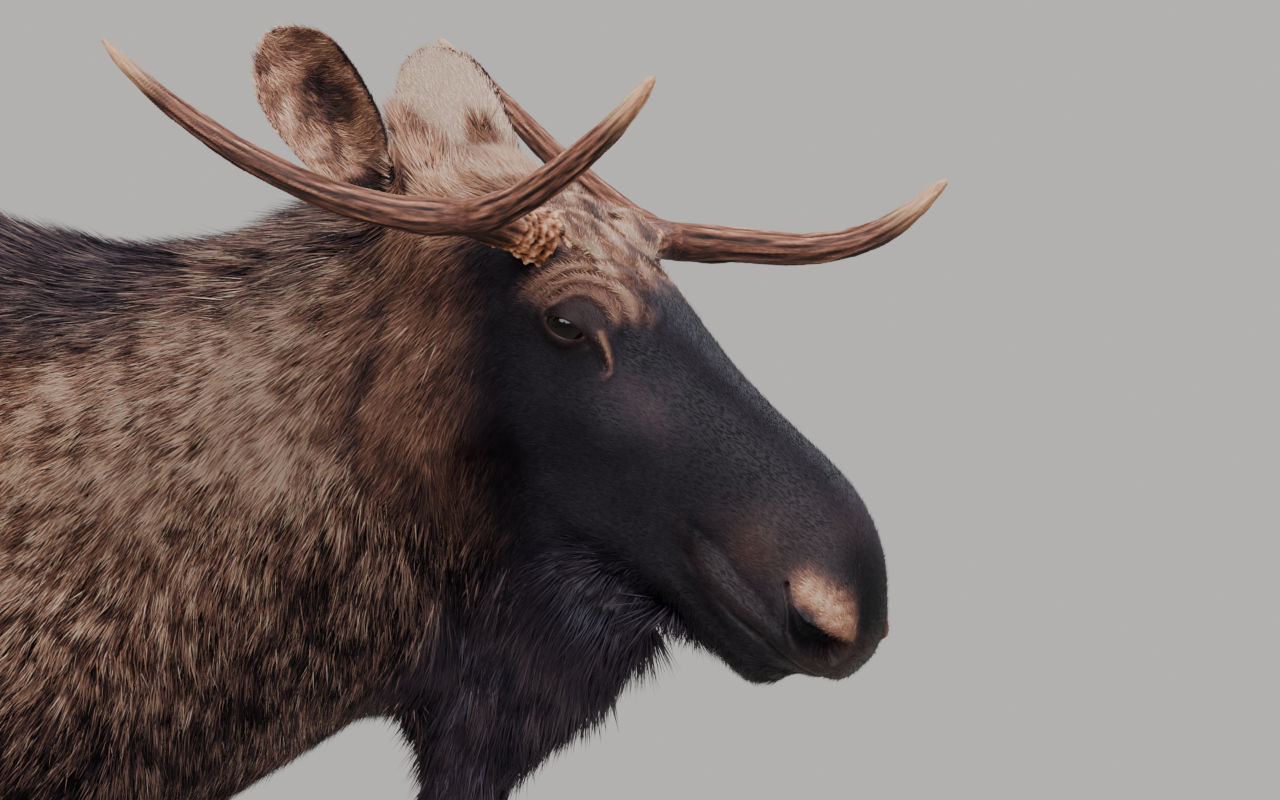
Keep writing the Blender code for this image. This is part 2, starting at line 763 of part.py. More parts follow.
# ---- antlers ------------------------------------------------------------------------------
# level distances off the eyes: ahead, out, up; then the radius there
BEAM = {
    "right": [
        (-0.032, 0.052, 0.080, 0.0235),
        (-0.034, 0.088, 0.089, 0.0255),
        (-0.041, 0.125, 0.097, 0.0205),
        (-0.048, 0.165, 0.104, 0.0195),
        (-0.054, 0.205, 0.109, 0.0185),
    ],
    "left": [
        (-0.032, 0.052, 0.078, 0.0235),
        (-0.034, 0.088, 0.084, 0.0255),
        (-0.041, 0.125, 0.089, 0.0205),
        (-0.048, 0.165, 0.092, 0.0195),
        (-0.054, 0.205, 0.094, 0.0185),
    ],
}
REAR_TINE = {
    "right": [
        (-0.030, 0.222, 0.114, 0.0120),
        (-0.062, 0.222, 0.110, 0.0170),
        (-0.115, 0.254, 0.114, 0.0165),
        (-0.180, 0.290, 0.135, 0.0152),
        (-0.245, 0.318, 0.168, 0.0136),
        (-0.305, 0.342, 0.210, 0.0116),
        (-0.358, 0.360, 0.256, 0.0085),
        (-0.386, 0.369, 0.287, 0.0045),
        (-0.392, 0.371, 0.294, 0.0020),
    ],
    "left": [
        (-0.030, 0.222, 0.097, 0.0120),
        (-0.062, 0.222, 0.100, 0.0170),
        (-0.115, 0.254, 0.122, 0.0162),
        (-0.180, 0.290, 0.158, 0.0148),
        (-0.245, 0.318, 0.200, 0.0132),
        (-0.305, 0.340, 0.246, 0.0112),
        (-0.365, 0.358, 0.294, 0.0080),
        (-0.404, 0.368, 0.324, 0.0045),
        (-0.414, 0.370, 0.332, 0.0020),
    ],
}
FRONT_TINE = {
    "right": [
        (-0.070, 0.222, 0.111, 0.0120),
        (-0.035, 0.228, 0.110, 0.0165),
        (0.022, 0.252, 0.123, 0.0162),
        (0.080, 0.282, 0.146, 0.0150),
        (0.135, 0.307, 0.174, 0.0132),
        (0.180, 0.324, 0.205, 0.0108),
        (0.208, 0.333, 0.230, 0.0078),
        (0.219, 0.336, 0.242, 0.0040),
    ],
    "left": [
        (-0.070, 0.218, 0.096, 0.0120),
        (-0.035, 0.224, 0.093, 0.0180),
        (0.022, 0.258, 0.090, 0.0180),
        (0.080, 0.296, 0.086, 0.0165),
        (0.135, 0.322, 0.097, 0.0142),
        (0.180, 0.334, 0.122, 0.0112),
        (0.212, 0.338, 0.149, 0.0075),
        (0.225, 0.339, 0.160, 0.0040),
    ],
}
FORK_CUT = 0.026  # how far from the fork each tine is parted from the beam
FORK_ROOM = 0.9  # side of the cube that parts a tine
BURR = (1.28, 1.28, 0.0125)  # of the beam's radius, twice, and the half thickness


def antler_rod(stations, side, name, home):
    rows = flow(stations, 3)
    path = [level_head(ahead, side * out, up) for ahead, out, up, _ in rows]
    return swept(path, [row[3] for row in rows], name, home, sides=12)


def antler(side, label, parts, cutters):
    """Front tine, rear tine, and the beam with its burr, which is returned."""
    rods = [
        antler_rod(BEAM[label], side, "beam_rod", cutters),
        antler_rod(REAR_TINE[label], side, "rear_rod", cutters),
        antler_rod(FRONT_TINE[label], side, "front_rod", cutters),
    ]
    ahead, out, up, radius = BEAM[label][1]
    burr_at = level_head(ahead, side * out, up)
    burr_turn = (LEFT * side).to_track_quat("Z", "Y").to_matrix()
    burr_size = (BURR[0] * radius, BURR[1] * radius, BURR[2])
    rods.append(ball("burr", cutters, burr_at, burr_size, burr_turn))
    whole = fused(rods, f"antler_{label}_dense", cutters, 0.004, smoothing=2)
    thin = thinned(whole, f"antler_{label}_whole", cutters, ANTLER_TRIANGLES)
    bpy.data.objects.remove(whole)

    thin.name = f"antler_{label}_beam"
    parts.objects.link(thin)
    cutters.objects.unlink(thin)
    beam = thin
    for tine, stations in (("front", FRONT_TINE[label]), ("rear", REAR_TINE[label])):
        near, far = (
            level_head(ahead, side * out, up) for ahead, out, up, _ in stations[1:3]
        )
        away = (far - near).normalized()
        cut = near + away * FORK_CUT
        key = f"antler_{label}_{tine}_tine"
        copy = thin.copy()
        copy.data = thin.data.copy()
        copy.name = key
        parts.objects.link(copy)
        past = half_space(f"{key}_cut", cutters, cut + away * GAP, away, FORK_ROOM)
        carve(copy, past, "INTERSECT")
        off = half_space(f"{key}_off", cutters, cut, away, FORK_ROOM)
        beam = carve(beam, off)
        thin = beam
    return beam


# ---- nostrils and mouth -------------------------------------------------------------------
def nostril_cutters(cutters):
    """Two long hollows, one in each side of the muzzle, that dip a little towards the lip."""
    made = []
    for side in (-1, 1):
        dip = Matrix.Rotation(math.radians(10), 3, "Y")
        flare = Matrix.Rotation(math.radians(side * -14), 3, "Z")
        hollow = ball(
            f"nostril_{side}",
            cutters,
            on_head(0.388, side * 0.074, -0.031),
            (0.038, 0.018, 0.012),
            HEAD_TURN @ flare @ dip,
            segments=12,
            rings=8,
        )
        made.append(helper(hollow))
    return made


# ---- assembly -----------------------------------------------------------------------------
def settle(parts):
    """Moves the whole animal so that its box stands centred on the origin, on z = 0."""
    corners = np.array(
        [v.co for made in parts.objects for v in made.data.vertices], float
    )
    low, high = corners.min(axis=0), corners.max(axis=0)
    shift = Vector((-(low[0] + high[0]) / 2, -(low[1] + high[1]) / 2, -low[2]))
    for made in parts.objects:
        made.data.transform(Matrix.Translation(shift))
    return shift


def finish_of(name):
    for start, slot in (
        ("hoof", "hoof"),
        ("dewclaw", "hoof"),
        ("antler", "antler"),
        ("eye", "eye"),
        ("ear", "coat_ear"),
        ("head", "coat_face"),
        ("bell", "coat_face"),
    ):
        if name.startswith(start):
            return slot
    return "coat_leg" if name.endswith("_lower") else "coat_brown"


def build():
    clear_scene()
    parts = collection("moose")
    cutters = collection("cutters")
    flesh = flesh_form(cutters)
    made = part_flesh(flesh, parts, cutters)
    bpy.data.objects.remove(flesh)
    for cutter in nostril_cutters(cutters):
        made["head"] = carve(made["head"], cutter)
    for side, label in ((-1, "right"), (1, "left")):
        eye = ball(
            f"eye_{label}",
            parts,
            on_head(0.0, side * EYE_APART / 2, 0.0),
            (EYEBALL,) * 3,
            segments=10,
            rings=8,
        )
        made["head"] = seat(eye, made["head"], cutters)
        beam = antler(side, label, parts, cutters)
        made["head"] = seat(beam, made["head"], cutters)
        pinna = ear(side, label, parts)
        made["head"] = seat(pinna, made["head"], cutters)
        made["neck"] = seat(pinna, made["neck"], cutters)
    bell = hanging(BELL, HEAD_YAW, "bell", parts)
    for host in ("head", "neck"):
        made[host] = seat(bell, made[host], cutters)
    tail = hanging(TAIL, 0.0, "tail", parts)
    made["trunk"] = seat(tail, made["trunk"], cutters)
    for name in LEGS:
        claws(name, parts, cutters)
        for claw in dewclaws(name, parts).values():
            key = f"leg_{name}_lower"
            made[key] = seat(claw, made[key], cutters)
    finishes = {name: finish(name) for name in FINISHES}
    for solid in parts.objects:
        dress(solid, finishes[finish_of(solid.name)])
    print("moved by", tuple(round(v, 5) for v in settle(parts)))


build()
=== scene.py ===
"""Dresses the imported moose: hide, coat, eyes, antlers, hooves and the studio round it.

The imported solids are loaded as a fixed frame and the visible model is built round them, in
metres, +Z up, with the animal facing +X. One hide stands for every node of flesh and lies
inside them by the depth of the coat. The coat is plain mesh: thin tufts that grow from the
hide, follow its lie and carry the same markings.
"""

import itertools
import logging
import math
from collections.abc import Sequence
from dataclasses import dataclass
from enum import Enum

import bmesh
import bpy
import numpy as np
from bpy.types import Material, Mesh, Node, NodeSocket, NodeTree, Object
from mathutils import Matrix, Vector
from mathutils.bvhtree import BVHTree


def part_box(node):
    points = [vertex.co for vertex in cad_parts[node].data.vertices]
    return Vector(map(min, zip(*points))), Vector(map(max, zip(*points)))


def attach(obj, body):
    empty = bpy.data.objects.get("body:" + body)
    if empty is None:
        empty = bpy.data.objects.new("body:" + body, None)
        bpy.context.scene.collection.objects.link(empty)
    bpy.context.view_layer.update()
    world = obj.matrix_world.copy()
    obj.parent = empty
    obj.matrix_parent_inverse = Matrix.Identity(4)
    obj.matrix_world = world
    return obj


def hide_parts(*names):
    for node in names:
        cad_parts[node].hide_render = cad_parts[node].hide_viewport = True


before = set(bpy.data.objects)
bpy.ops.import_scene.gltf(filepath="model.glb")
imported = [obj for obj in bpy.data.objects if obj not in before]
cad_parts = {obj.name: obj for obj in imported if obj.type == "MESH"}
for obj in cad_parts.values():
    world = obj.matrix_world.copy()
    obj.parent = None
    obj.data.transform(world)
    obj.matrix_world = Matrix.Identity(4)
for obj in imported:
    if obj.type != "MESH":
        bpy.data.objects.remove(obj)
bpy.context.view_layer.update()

LOG = logging.getLogger("moose")
MM = 0.001
Array = np.ndarray
SIDES = {"right": -1, "left": 1}  # which way each side lies along the head's left axis
LEGS = ("front_right", "front_left", "rear_right", "rear_left")
WAVES = 6  # waves that smooth noise is made of


# ---- small mathematics --------------------------------------------------------------------
def unit(v: Array) -> Array:
    """The vectors of v, made one unit long."""
    return v / np.maximum(np.linalg.norm(v, axis=-1, keepdims=True), 1e-9)


def flattened(v: Array, n: Array) -> Array:
    """Unit vectors along v in the planes that n stands on."""
    return unit(v - n * np.sum(v * n, axis=1, keepdims=True))


def ease(start: float, end: float, x: Array) -> Array:
    """Nought before start, one past end, and a smooth step between them."""
    t = np.clip((x - start) / (end - start), 0.0, 1.0)
    return t * t * (3.0 - 2.0 * t)


def spot(du: Array, dv: Array, ru: float, rv: float) -> Array:
    """One at the middle of a soft oval, falling to nought round it."""
    return np.exp(-((du / ru) ** 2) - (dv / rv) ** 2)


def near(gap: Array, reach: float) -> Array:
    """One on a line and falling to nought beside it, over about reach."""
    return np.exp(-((gap / reach) ** 2))


def soften(line: Array, rounds: int) -> None:
    """Rounds off the corners of a line in place, with its ends held."""
    for _ in range(rounds):
        line[1:-1] = 0.25 * line[:-2] + 0.5 * line[1:-1] + 0.25 * line[2:]


def mix(a: Array, b: Array, share: Array) -> Array:
    """a where share is nought and b where it is one."""
    if np.ndim(a) > np.ndim(share) or np.ndim(b) > np.ndim(share):
        share = np.asarray(share)[..., None]
    return a + (b - a) * share


def ripple(points: Array, wavelength: float, seed: int) -> Array:
    """Smooth noise of about -1 to 1 in space.

    Args:
        points: places, one a row.
        wavelength: typical size of a blotch, in metres.
        seed: picks the pattern.

    Returns:
        One value for each point.
    """
    rng = np.random.default_rng(seed)
    total = np.zeros(len(points))
    for _ in range(WAVES):
        heading = unit(rng.normal(size=3))
        number = 2 * math.pi / (wavelength * rng.uniform(0.7, 1.5))
        total += np.sin(points @ heading * number + rng.uniform(0, 2 * math.pi))
    return total / math.sqrt(WAVES)


def pleat(t: Array) -> Array:
    """One on broad crests and -1 in the narrow furrow halfway through each unit of t."""
    return 1.0 - 2.0 * near(t - np.floor(t) - 0.5, 0.20)


def along_path(u: Array, w: Array, path: Sequence[tuple[float, ...]]) -> tuple[Array, Array]:
    """Distance from a bent line in the plane, and how far along it the nearest place is.

    Args:
        u, w: coordinates of the points.
        path: the line's corners, as (u, w).

    Returns:
        The distances, and the places as 0 at the start to 1 at the end.
    """
    best = np.full(len(u), 1e9)
    place = np.zeros(len(u))
    spans = len(path) - 1
    for k in range(spans):
        (u0, w0), (u1, w1) = path[k], path[k + 1]
        du, dw = u1 - u0, w1 - w0
        t = np.clip(((u - u0) * du + (w - w0) * dw) / (du * du + dw * dw), 0, 1)
        gap = np.hypot(u - u0 - t * du, w - w0 - t * dw)
        nearer = gap < best
        best = np.where(nearer, gap, best)
        place = np.where(nearer, (k + t) / spans, place)
    return best, place


# ---- meshes as arrays ---------------------------------------------------------------------
@dataclass
class Shell:
    """A surface of triangles: places, corners of each face, and values at the places."""

    co: Array
    tris: Array
    values: dict[str, Array]

    def normals(self) -> Array:
        """Outward unit normals at the vertices, weighted by area."""
        a, b, c = (self.co[self.tris[:, k]] for k in range(3))
        face = np.cross(b - a, c - a)
        total = np.zeros_like(self.co)
        for axis in range(3):
            for k in range(3):
                total[:, axis] += np.bincount(
                    self.tris[:, k], face[:, axis], minlength=len(self.co)
                )
        return unit(total)

    def relax(self, free: Array, rounds: int, hold: bool = False) -> None:
        """Smooths the surface.

        Args:
            free: how far each vertex may follow its neighbours, 0 to 1.
            rounds: how often it does so.
            hold: whether every round is followed by a push back, so that thin forms stay thick.
        """
        ends = np.vstack([self.tris[:, pair] for pair in ((0, 1), (1, 2), (2, 0))])
        ends = np.unique(np.sort(ends), axis=0)
        i = np.concatenate([ends[:, 0], ends[:, 1]])
        j = np.concatenate([ends[:, 1], ends[:, 0]])
        count = len(self.co)
        degree = np.maximum(np.bincount(i, minlength=count), 1)
        for pull in (0.5, -0.515) * rounds if hold else (0.5,) * rounds:
            for axis in range(3):
                column = self.co[:, axis]
                mean = np.bincount(i, column[j], minlength=count) / degree
                self.co[:, axis] = column + pull * free * (mean - column)

    def join(self, other: "Shell") -> "Shell":
        """This shell and another as one, with the values that both have."""
        names = set(self.values) & set(other.values)
        return Shell(
            np.vstack([self.co, other.co]),
            np.vstack([self.tris, other.tris + len(self.co)]),
            {n: np.concatenate([self.values[n], other.values[n]]) for n in names},
        )

    def mesh(self, name: str) -> Mesh:
        """The shell as a smooth-shaded mesh with its values as point attributes."""
        made = bpy.data.meshes.new(name)
        made.vertices.add(len(self.co))
        made.vertices.foreach_set("co", self.co.astype(np.float32).ravel())
        made.loops.add(self.tris.size)
        made.loops.foreach_set("vertex_index", self.tris.astype(np.int32).ravel())
        made.polygons.add(len(self.tris))
        made.polygons.foreach_set("loop_start", np.arange(len(self.tris), dtype=np.int32) * 3)
        made.update(calc_edges=True)
        made.shade_smooth()
        for key, value in self.values.items():
            kind, field = ("FLOAT", "value") if value.ndim == 1 else ("FLOAT_VECTOR", "vector")
            layer = made.attributes.new(key, kind, "POINT")
            layer.data.foreach_set(field, value.astype(np.float32).ravel())
        return made


def read_shell(mesh: Mesh) -> Shell:
    """The places and triangles of a mesh."""
    mesh.calc_loop_triangles()
    co = np.empty(len(mesh.vertices) * 3, np.float32)
    mesh.vertices.foreach_get("co", co)
    tris = np.empty(len(mesh.loop_triangles) * 3, np.int32)
    mesh.loop_triangles.foreach_get("vertices", tris)
    return Shell(co.reshape(-1, 3).astype(float), tris.reshape(-1, 3), {})


def add_object(name: str, mesh: Mesh) -> Object:
    """Links a mesh to the scene as an object at the origin."""
    made = bpy.data.objects.new(name, mesh)
    bpy.context.scene.collection.objects.link(made)
    return made


def settled(source: Object) -> Mesh:
    """A plain mesh of an object with its modifiers applied, after which the object is gone."""
    bpy.context.view_layer.update()
    graph = bpy.context.evaluated_depsgraph_get()
    mesh = bpy.data.meshes.new_from_object(source.evaluated_get(graph))
    bpy.data.objects.remove(source)
    return mesh


def to_mesh(bm: bmesh.types.BMesh, name: str) -> Mesh:
    """A mesh with what bm holds, after which bm is gone."""
    mesh = bpy.data.meshes.new(name)
    bm.to_mesh(mesh)
    bm.free()
    return mesh


def node_mesh(name: str, swell: float) -> Mesh:
    """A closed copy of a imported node, moved out along its normals by swell."""
    bm = bmesh.new()
    bm.from_mesh(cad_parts[name].data)
    bmesh.ops.remove_doubles(bm, verts=bm.verts, dist=1e-5)
    bm.normal_update()
    for vertex in bm.verts:
        vertex.co += vertex.normal * swell
    return to_mesh(bm, name + "_copy")


def fused(meshes: Sequence[Mesh], voxel: float) -> Shell:
    """One closed surface round several meshes."""
    bm = bmesh.new()
    for mesh in meshes:
        bm.from_mesh(mesh)
        bpy.data.meshes.remove(mesh)
    made = add_object("fused", to_mesh(bm, "fused"))
    remesh = made.modifiers.new("Fuse", "REMESH")
    remesh.mode = "VOXEL"
    remesh.voxel_size = voxel
    return read_shell(settled(made))


def ball_mesh(at: Array, radii: Sequence[float], axes: Array) -> Mesh:
    """An ellipsoid with its radii along the rows of axes."""
    bm = bmesh.new()
    bmesh.ops.create_icosphere(bm, subdivisions=3, radius=1.0)
    for vertex in bm.verts:
        vertex.co = Vector(at + (np.array(vertex.co) * radii) @ axes)
    return to_mesh(bm, "ball")


def dress(made: Object, finish: Material, slot: str, *nodes: str) -> Object:
    """Gives a piece its finish, and lets it ride and stand for CAD nodes."""
    made.data.materials.clear()
    made.data.materials.append(finish)
    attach(made, "root")
    if nodes:
        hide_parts(*nodes)
    LOG.info("%s: %d faces", made.name, len(made.data.polygons))
    return made


# ---- where the body's parts lie -----------------------------------------------------------
def centre_of(node: str) -> Array:
    """Middle of a CAD node's box."""
    low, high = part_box(node)
    return np.array((low + high) / 2)


class Anatomy:
    """Axes of the head and body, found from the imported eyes.

    The body's own origin is on the floor, on the midline, between the forefeet.
    """

    HEAD_PITCH = math.radians(45)  # how far the face slopes down
    EYES_FROM_ORIGIN = np.array((0.752, -0.090, 1.671))

    def __init__(self) -> None:
        """Reads the places of the two eyes."""
        right, left = centre_of("eye_right"), centre_of("eye_left")
        low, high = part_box("eye_right")
        self.eyeball = (high.z - low.z) / 2
        self.eye_apart = float(np.linalg.norm(left - right))
        self.eyes = (right + left) / 2
        self.left = unit(left - right)
        self.up = np.array((0.0, 0.0, 1.0))
        self.ahead = np.cross(self.left, self.up)
        cos, sin = math.cos(self.HEAD_PITCH), math.sin(self.HEAD_PITCH)
        self.muzzleward = self.ahead * cos - self.up * sin
        self.browward = self.ahead * sin + self.up * cos
        self.face_axes = np.array((self.muzzleward, self.left, self.browward))
        self.level_axes = np.array((self.ahead, self.left, self.up))
        self.origin = self.eyes - self.EYES_FROM_ORIGIN

    def face(self, p: Array) -> tuple[Array, Array, Array]:
        """Distances off the eyes: towards the muzzle, to the left, towards the brow."""
        return tuple(((p - self.eyes) @ self.face_axes.T).T)

    def level(self, p: Array) -> tuple[Array, Array, Array]:
        """Distances off the eyes with the head's level axes: ahead, left, up."""
        return tuple(((p - self.eyes) @ self.level_axes.T).T)

    def body(self, p: Array) -> tuple[Array, Array, Array]:
        """Distances off the body's origin: forwards, left, up."""
        return tuple((p - self.origin).T)

    def on_face(self, u: float, v: float, w: float) -> Array:
        """The place with these face distances."""
        return self.eyes + np.array((u, v, w)) @ self.face_axes

    def on_level(self, f: float, v: float, h: float) -> Array:
        """The place with these level distances."""
        return self.eyes + np.array((f, v, h)) @ self.level_axes


# ---- the coat's markings and lie ----------------------------------------------------------
@dataclass
class Hair:
    """What grows at each of a set of places.

    shade runs from black at 0 to fawn at 1, cool pulls it to slate, and warm to rust. streak
    is how much neighbouring tufts differ.
    """

    shade: Array
    cool: Array
    warm: Array
    bare: Array
    streak: Array
    length: Array
    width: Array
    depth: Array
    lie: Array

    def values(self) -> dict[str, Array]:
        """What the finishes read."""
        return {"shade": self.shade, "cool": self.cool, "warm": self.warm, "bare": self.bare}


class Pelage:
    """Markings, length and lie of the hair at any place on the animal."""

    # forwards, height of the back, height of the belly or throat
    PROFILE = (
        (-1.215, 1.475, 1.330),
        (-1.080, 1.580, 1.155),
        (-0.960, 1.618, 1.068),
        (-0.800, 1.634, 1.008),
        (-0.600, 1.656, 0.972),
        (-0.380, 1.720, 0.952),
        (-0.180, 1.808, 0.945),
        (-0.030, 1.830, 0.948),
        (0.100, 1.790, 1.050),
        (0.220, 1.765, 1.110),
        (0.330, 1.775, 1.172),
        (0.430, 1.812, 1.230),
        (0.520, 1.836, 1.284),
        (0.590, 1.815, 1.345),
    )
    # forwards, depth of the dark band along the back
    SADDLE = (
        (-1.2, 0.05), (-0.3, 0.12), (0.13, 0.113), (0.33, 0.052), (0.46, 0.038), (0.60, 0.026),
    )
    # height off the eyes, and the middle and half-width of the bell there
    BELL = (
        (-0.60, -0.206, 0.03),
        (-0.48, -0.170, 0.07),
        (-0.38, -0.122, 0.13),
        (-0.29, -0.085, 0.16),
        (-0.24, -0.100, 0.13),
    )
    # toward the muzzle, toward the brow
    MOUTH = ((0.235, -0.088), (0.262, -0.094), (0.325, -0.088), (0.364, -0.081), (0.440, -0.079))
    LIP = ((0.228, -0.074), (0.262, -0.076), (0.305, -0.074), (0.349, -0.068), (0.440, -0.064))
    CREASE = ((0.222, -0.060), (0.264, -0.052), (0.310, -0.056), (0.345, -0.052))
    NOSTRIL = ((0.347, -0.020), (0.366, -0.032), (0.388, -0.042), (0.410, -0.043), (0.424, -0.039))
    NOSE_PATCH = ((0.368, -0.008), (0.392, -0.004), (0.420, -0.010), (0.438, -0.024))
    GLAND = ((0.020, 0.010), (0.036, 0.007), (0.056, -0.004))
    GLAND_RIDGE = ((0.029, 0.021), (0.041, 0.014), (0.054, 0.006), (0.063, -0.004), (0.063, -0.012))

    def __init__(self, anatomy: Anatomy) -> None:
        """Keeps the body's axes."""
        self.anatomy = anatomy

    def heights(self, x: Array) -> tuple[Array, Array]:
        """Heights of the back, and of the belly or throat, this far forwards."""
        where, back, belly = np.array(self.PROFILE).T
        return np.interp(x, where, back), np.interp(x, where, belly)

    def gape(self, u: Array) -> Array:
        """Height of the mouth's line, this far toward the muzzle."""
        return np.interp(u, *np.array(self.MOUTH).T)

    @staticmethod
    def off_belly(x: Array) -> Array:
        """One over the fore and hind legs, and nought between them."""
        return np.clip(ease(-0.16, -0.10, x) + ease(-0.80, -0.86, x), 0, 1)

    @staticmethod
    def off_eye(f: Array, h: Array) -> Array:
        """Distance, as seen from the side, off the middle of the arch over the eye."""
        return np.hypot(f - 0.010, h + 0.004)

    def zones(self, p: Array) -> dict[str, Array]:
        """How far each place belongs to the head, the bell and the legs, 0 to 1."""
        x, _, z = self.anatomy.body(p)
        f, v, h = self.anatomy.level(p)
        w = self.anatomy.face(p)[2]
        nape = (f + 0.2086) * 0.970 - (h - 0.1238) * 0.242
        poll = ease(0.13, 0.16, h) * ease(0.045, 0.060, np.abs(v)) * ease(-0.30, -0.26, f)
        head = np.maximum(ease(-0.03, 0.05, nape) * ease(-0.27, -0.20, w), poll)
        hang = ease(-0.20, -0.27, h) * ease(-0.30, -0.16, f) * ease(-0.62, -0.60, h)
        level, middle, reach = np.array(self.BELL).T
        middle, reach = np.interp(h, level, middle), np.interp(h, level, reach)
        bell = hang * ease(1.25, 0.95, np.abs(f - middle) / reach) * ease(0.085, 0.055, np.abs(v))
        leg = ease(0.99, 0.86, z) * self.off_belly(x)
        return {"head": head, "bell": bell, "leg": leg, "nape": nape}

    def wrinkles(self, p: Array) -> Array:
        """Folds of the skin over the eye and on the forehead, -1 in a furrow to 1 on a crest."""
        u, v, w = self.anatomy.face(p)
        f, _, h = self.anatomy.level(p)
        wander = ripple(p, 0.05, 11)
        brow = self.brow(f, h) * pleat((self.off_eye(f, h) - 0.045) / 0.0128 + 0.5 + 0.12 * wander)
        slant = 0.83 * f + 0.55 * h
        open_brow = ease(0.044, 0.058, w) * ease(0.030, 0.0, u) * ease(-0.17, -0.13, u)
        forehead = open_brow * pleat((slant - 0.0475) / 0.0145 + 0.5 + 0.28 * wander)
        return np.clip(brow * ease(0.03, 0.06, np.abs(v)) + forehead, -1, 1)

    def brow(self, f: Array, h: Array) -> Array:
        """How far a place lies on the bulge that arches over the eye."""
        round_eye = self.off_eye(f, h)
        bearing = np.arctan2(h + 0.004, f - 0.010)
        over = ease(-0.15, 0.35, bearing) * ease(2.9, 2.3, bearing)
        return over * ease(0.027, 0.034, round_eye) * ease(0.080, 0.066, round_eye)

    def read(self, p: Array, n: Array) -> Hair:
        """Everything about the hair at places on the flesh.

        Args:
            p: places, one a row.
            n: outward normals there.

        Returns:
            The hair, with its lie in the plane of the skin.
        """
        zones = self.zones(p)
        hair = self.on_body(p)
        for share, part in (
            (zones["leg"], self.on_legs(p, n)),
            (zones["head"], self.on_head(p)),
            (zones["bell"], self.on_bell(p)),
        ):
            for name in vars(hair):
                setattr(hair, name, mix(getattr(hair, name), getattr(part, name), share))
        # painted shade: the fold between neck and cheek is darkened and cooled, as the crease lies
        # in shade
        fold = self.fold(p) * (1 - zones["bell"])
        hair.shade = hair.shade - 0.30 * fold
        hair.cool = np.clip(hair.cool + 0.4 * fold, 0, 1)
        hair.lie = flattened(hair.lie, n)
        return hair

    def fold(self, p: Array) -> Array:
        """How deep a place lies in the fold of skin between neck and cheek, 0 to 1."""
        f, _, h = self.anatomy.level(p)
        middle = -0.196 + 0.010 * np.sin(h * 22 + 0.5) + 0.004 * ripple(p, 0.06, 6)
        off = f - middle
        deep = near(off, np.where(off < 0, 0.020, 0.006))
        deep = deep * ease(0.13, 0.06, h) * ease(-0.18, -0.06, h)
        return deep * (0.8 + 0.3 * ripple(p, 0.03, 9))

    def on_body(self, p: Array) -> Hair:
        """Trunk, neck and tail: golden-brown sides under a dark saddle."""
        x, _, z = self.anatomy.body(p)
        back, belly = self.heights(x)
        rise = (z - belly) / (back - belly)
        neck = ease(-0.06, 0.18, x)
        band = np.interp(x, *np.array(self.SADDLE).T) + 0.018 * ripple(p, 0.16, 3)
        crest = ease(0.055, -0.035, back - z - band)
        gold = ease(0.16, 0.42, rise)
        flank = 0.42 + 0.05 * ripple(p, 0.30, 4) - 0.14 * ease(0.25, 0.0, rise)
        gold = gold * (1 - 0.50 * ease(0.30, 0.47, x) * ease(0.55, 0.30, rise))
        side = 0.29 + 0.37 * gold + 0.06 * ripple(p, 0.12, 5) - 0.08 * ease(0.62, 0.30, rise)
        side = side + 0.17 * spot(x - 0.40, z - 1.62, 0.12, 0.10)
        side = side + 0.08 * spot(x - 0.38, z - 1.33, 0.12, 0.08)
        side = side - 0.10 * ease(0.24, 0.08, x) * gold
        shade = mix(flank, side, neck) + 0.10 * spot(x - 0.05, z - 1.58, 0.14, 0.12)
        shade = mix(shade, 0.40, crest)
        cool = 0.12 + 0.66 * crest + 0.22 * (1 - gold)
        warm = 0.05 * gold * (1 - crest) + 0.35 * spot(x - 0.05, z - 1.55, 0.16, 0.16)
        steep = np.interp(rise, (0.0, 0.35, 0.55, 0.75, 0.92, 1.0), (82, 78, 62, 36, 14, 6))
        gentle = np.interp(rise, (0.0, 0.3, 0.7, 1.0), (20, 42, 38, 5))
        angle = np.radians(mix(gentle, steep, ease(0.02, 0.34, x)))
        rump = ease(-0.80, -1.05, x)
        angle = mix(angle, math.radians(70), rump * ease(1.05, 0.85, rise))
        lie = np.stack([-np.cos(angle), np.zeros_like(x), -np.sin(angle)], axis=1)
        tail = ease(-1.185, -1.205, x) * ease(1.53, 1.48, z)
        mane = crest * ease(-0.35, -0.15, x)
        length = mix(0.040, 0.046, neck) + 0.026 * mane + 0.015 * tail
        width = mix(0.0048, 0.0027, neck)
        depth = mix(0.011, 0.012, neck) + 0.001 * mane - 0.004 * tail
        depth = mix(depth, 0.006, ease(0.40, 0.10, rise) * ease(0.2, -0.2, x) * 0.5)
        streak = mix(1.2, 3.0, neck) - 1.2 * crest
        cool, warm = np.clip(cool, 0, 1), np.clip(warm, 0, 1)
        return Hair(shade, cool, warm, 0 * x, streak, length, width, depth, lie)

    def on_legs(self, p: Array, n: Array) -> Hair:
        """Legs: short pale hair, darker down the front and over the hooves."""
        x, _, z = self.anatomy.body(p)
        one = np.ones_like(x)
        pale = ease(0.90, 0.62, z)
        shade = 0.40 + 0.38 * pale - 0.16 * ease(0.2, 0.8, n[:, 0]) * ease(0.2, 0.6, z)
        shade = shade - 0.30 * ease(0.14, 0.09, z) + 0.04 * ripple(p, 0.08, 7)
        length = mix(0.020, 0.030, ease(0.6, 0.95, z)) + 0.010 * ease(0.14, 0.10, z)
        lie = np.stack([-0.16 * one, 0 * one, -one], axis=1)
        return Hair(
            shade, 0.15 + 0.70 * pale, 0 * one, 0 * one, 0.7 * one,
            length, 0.0032 * one, 0.0042 * one, lie,
        )

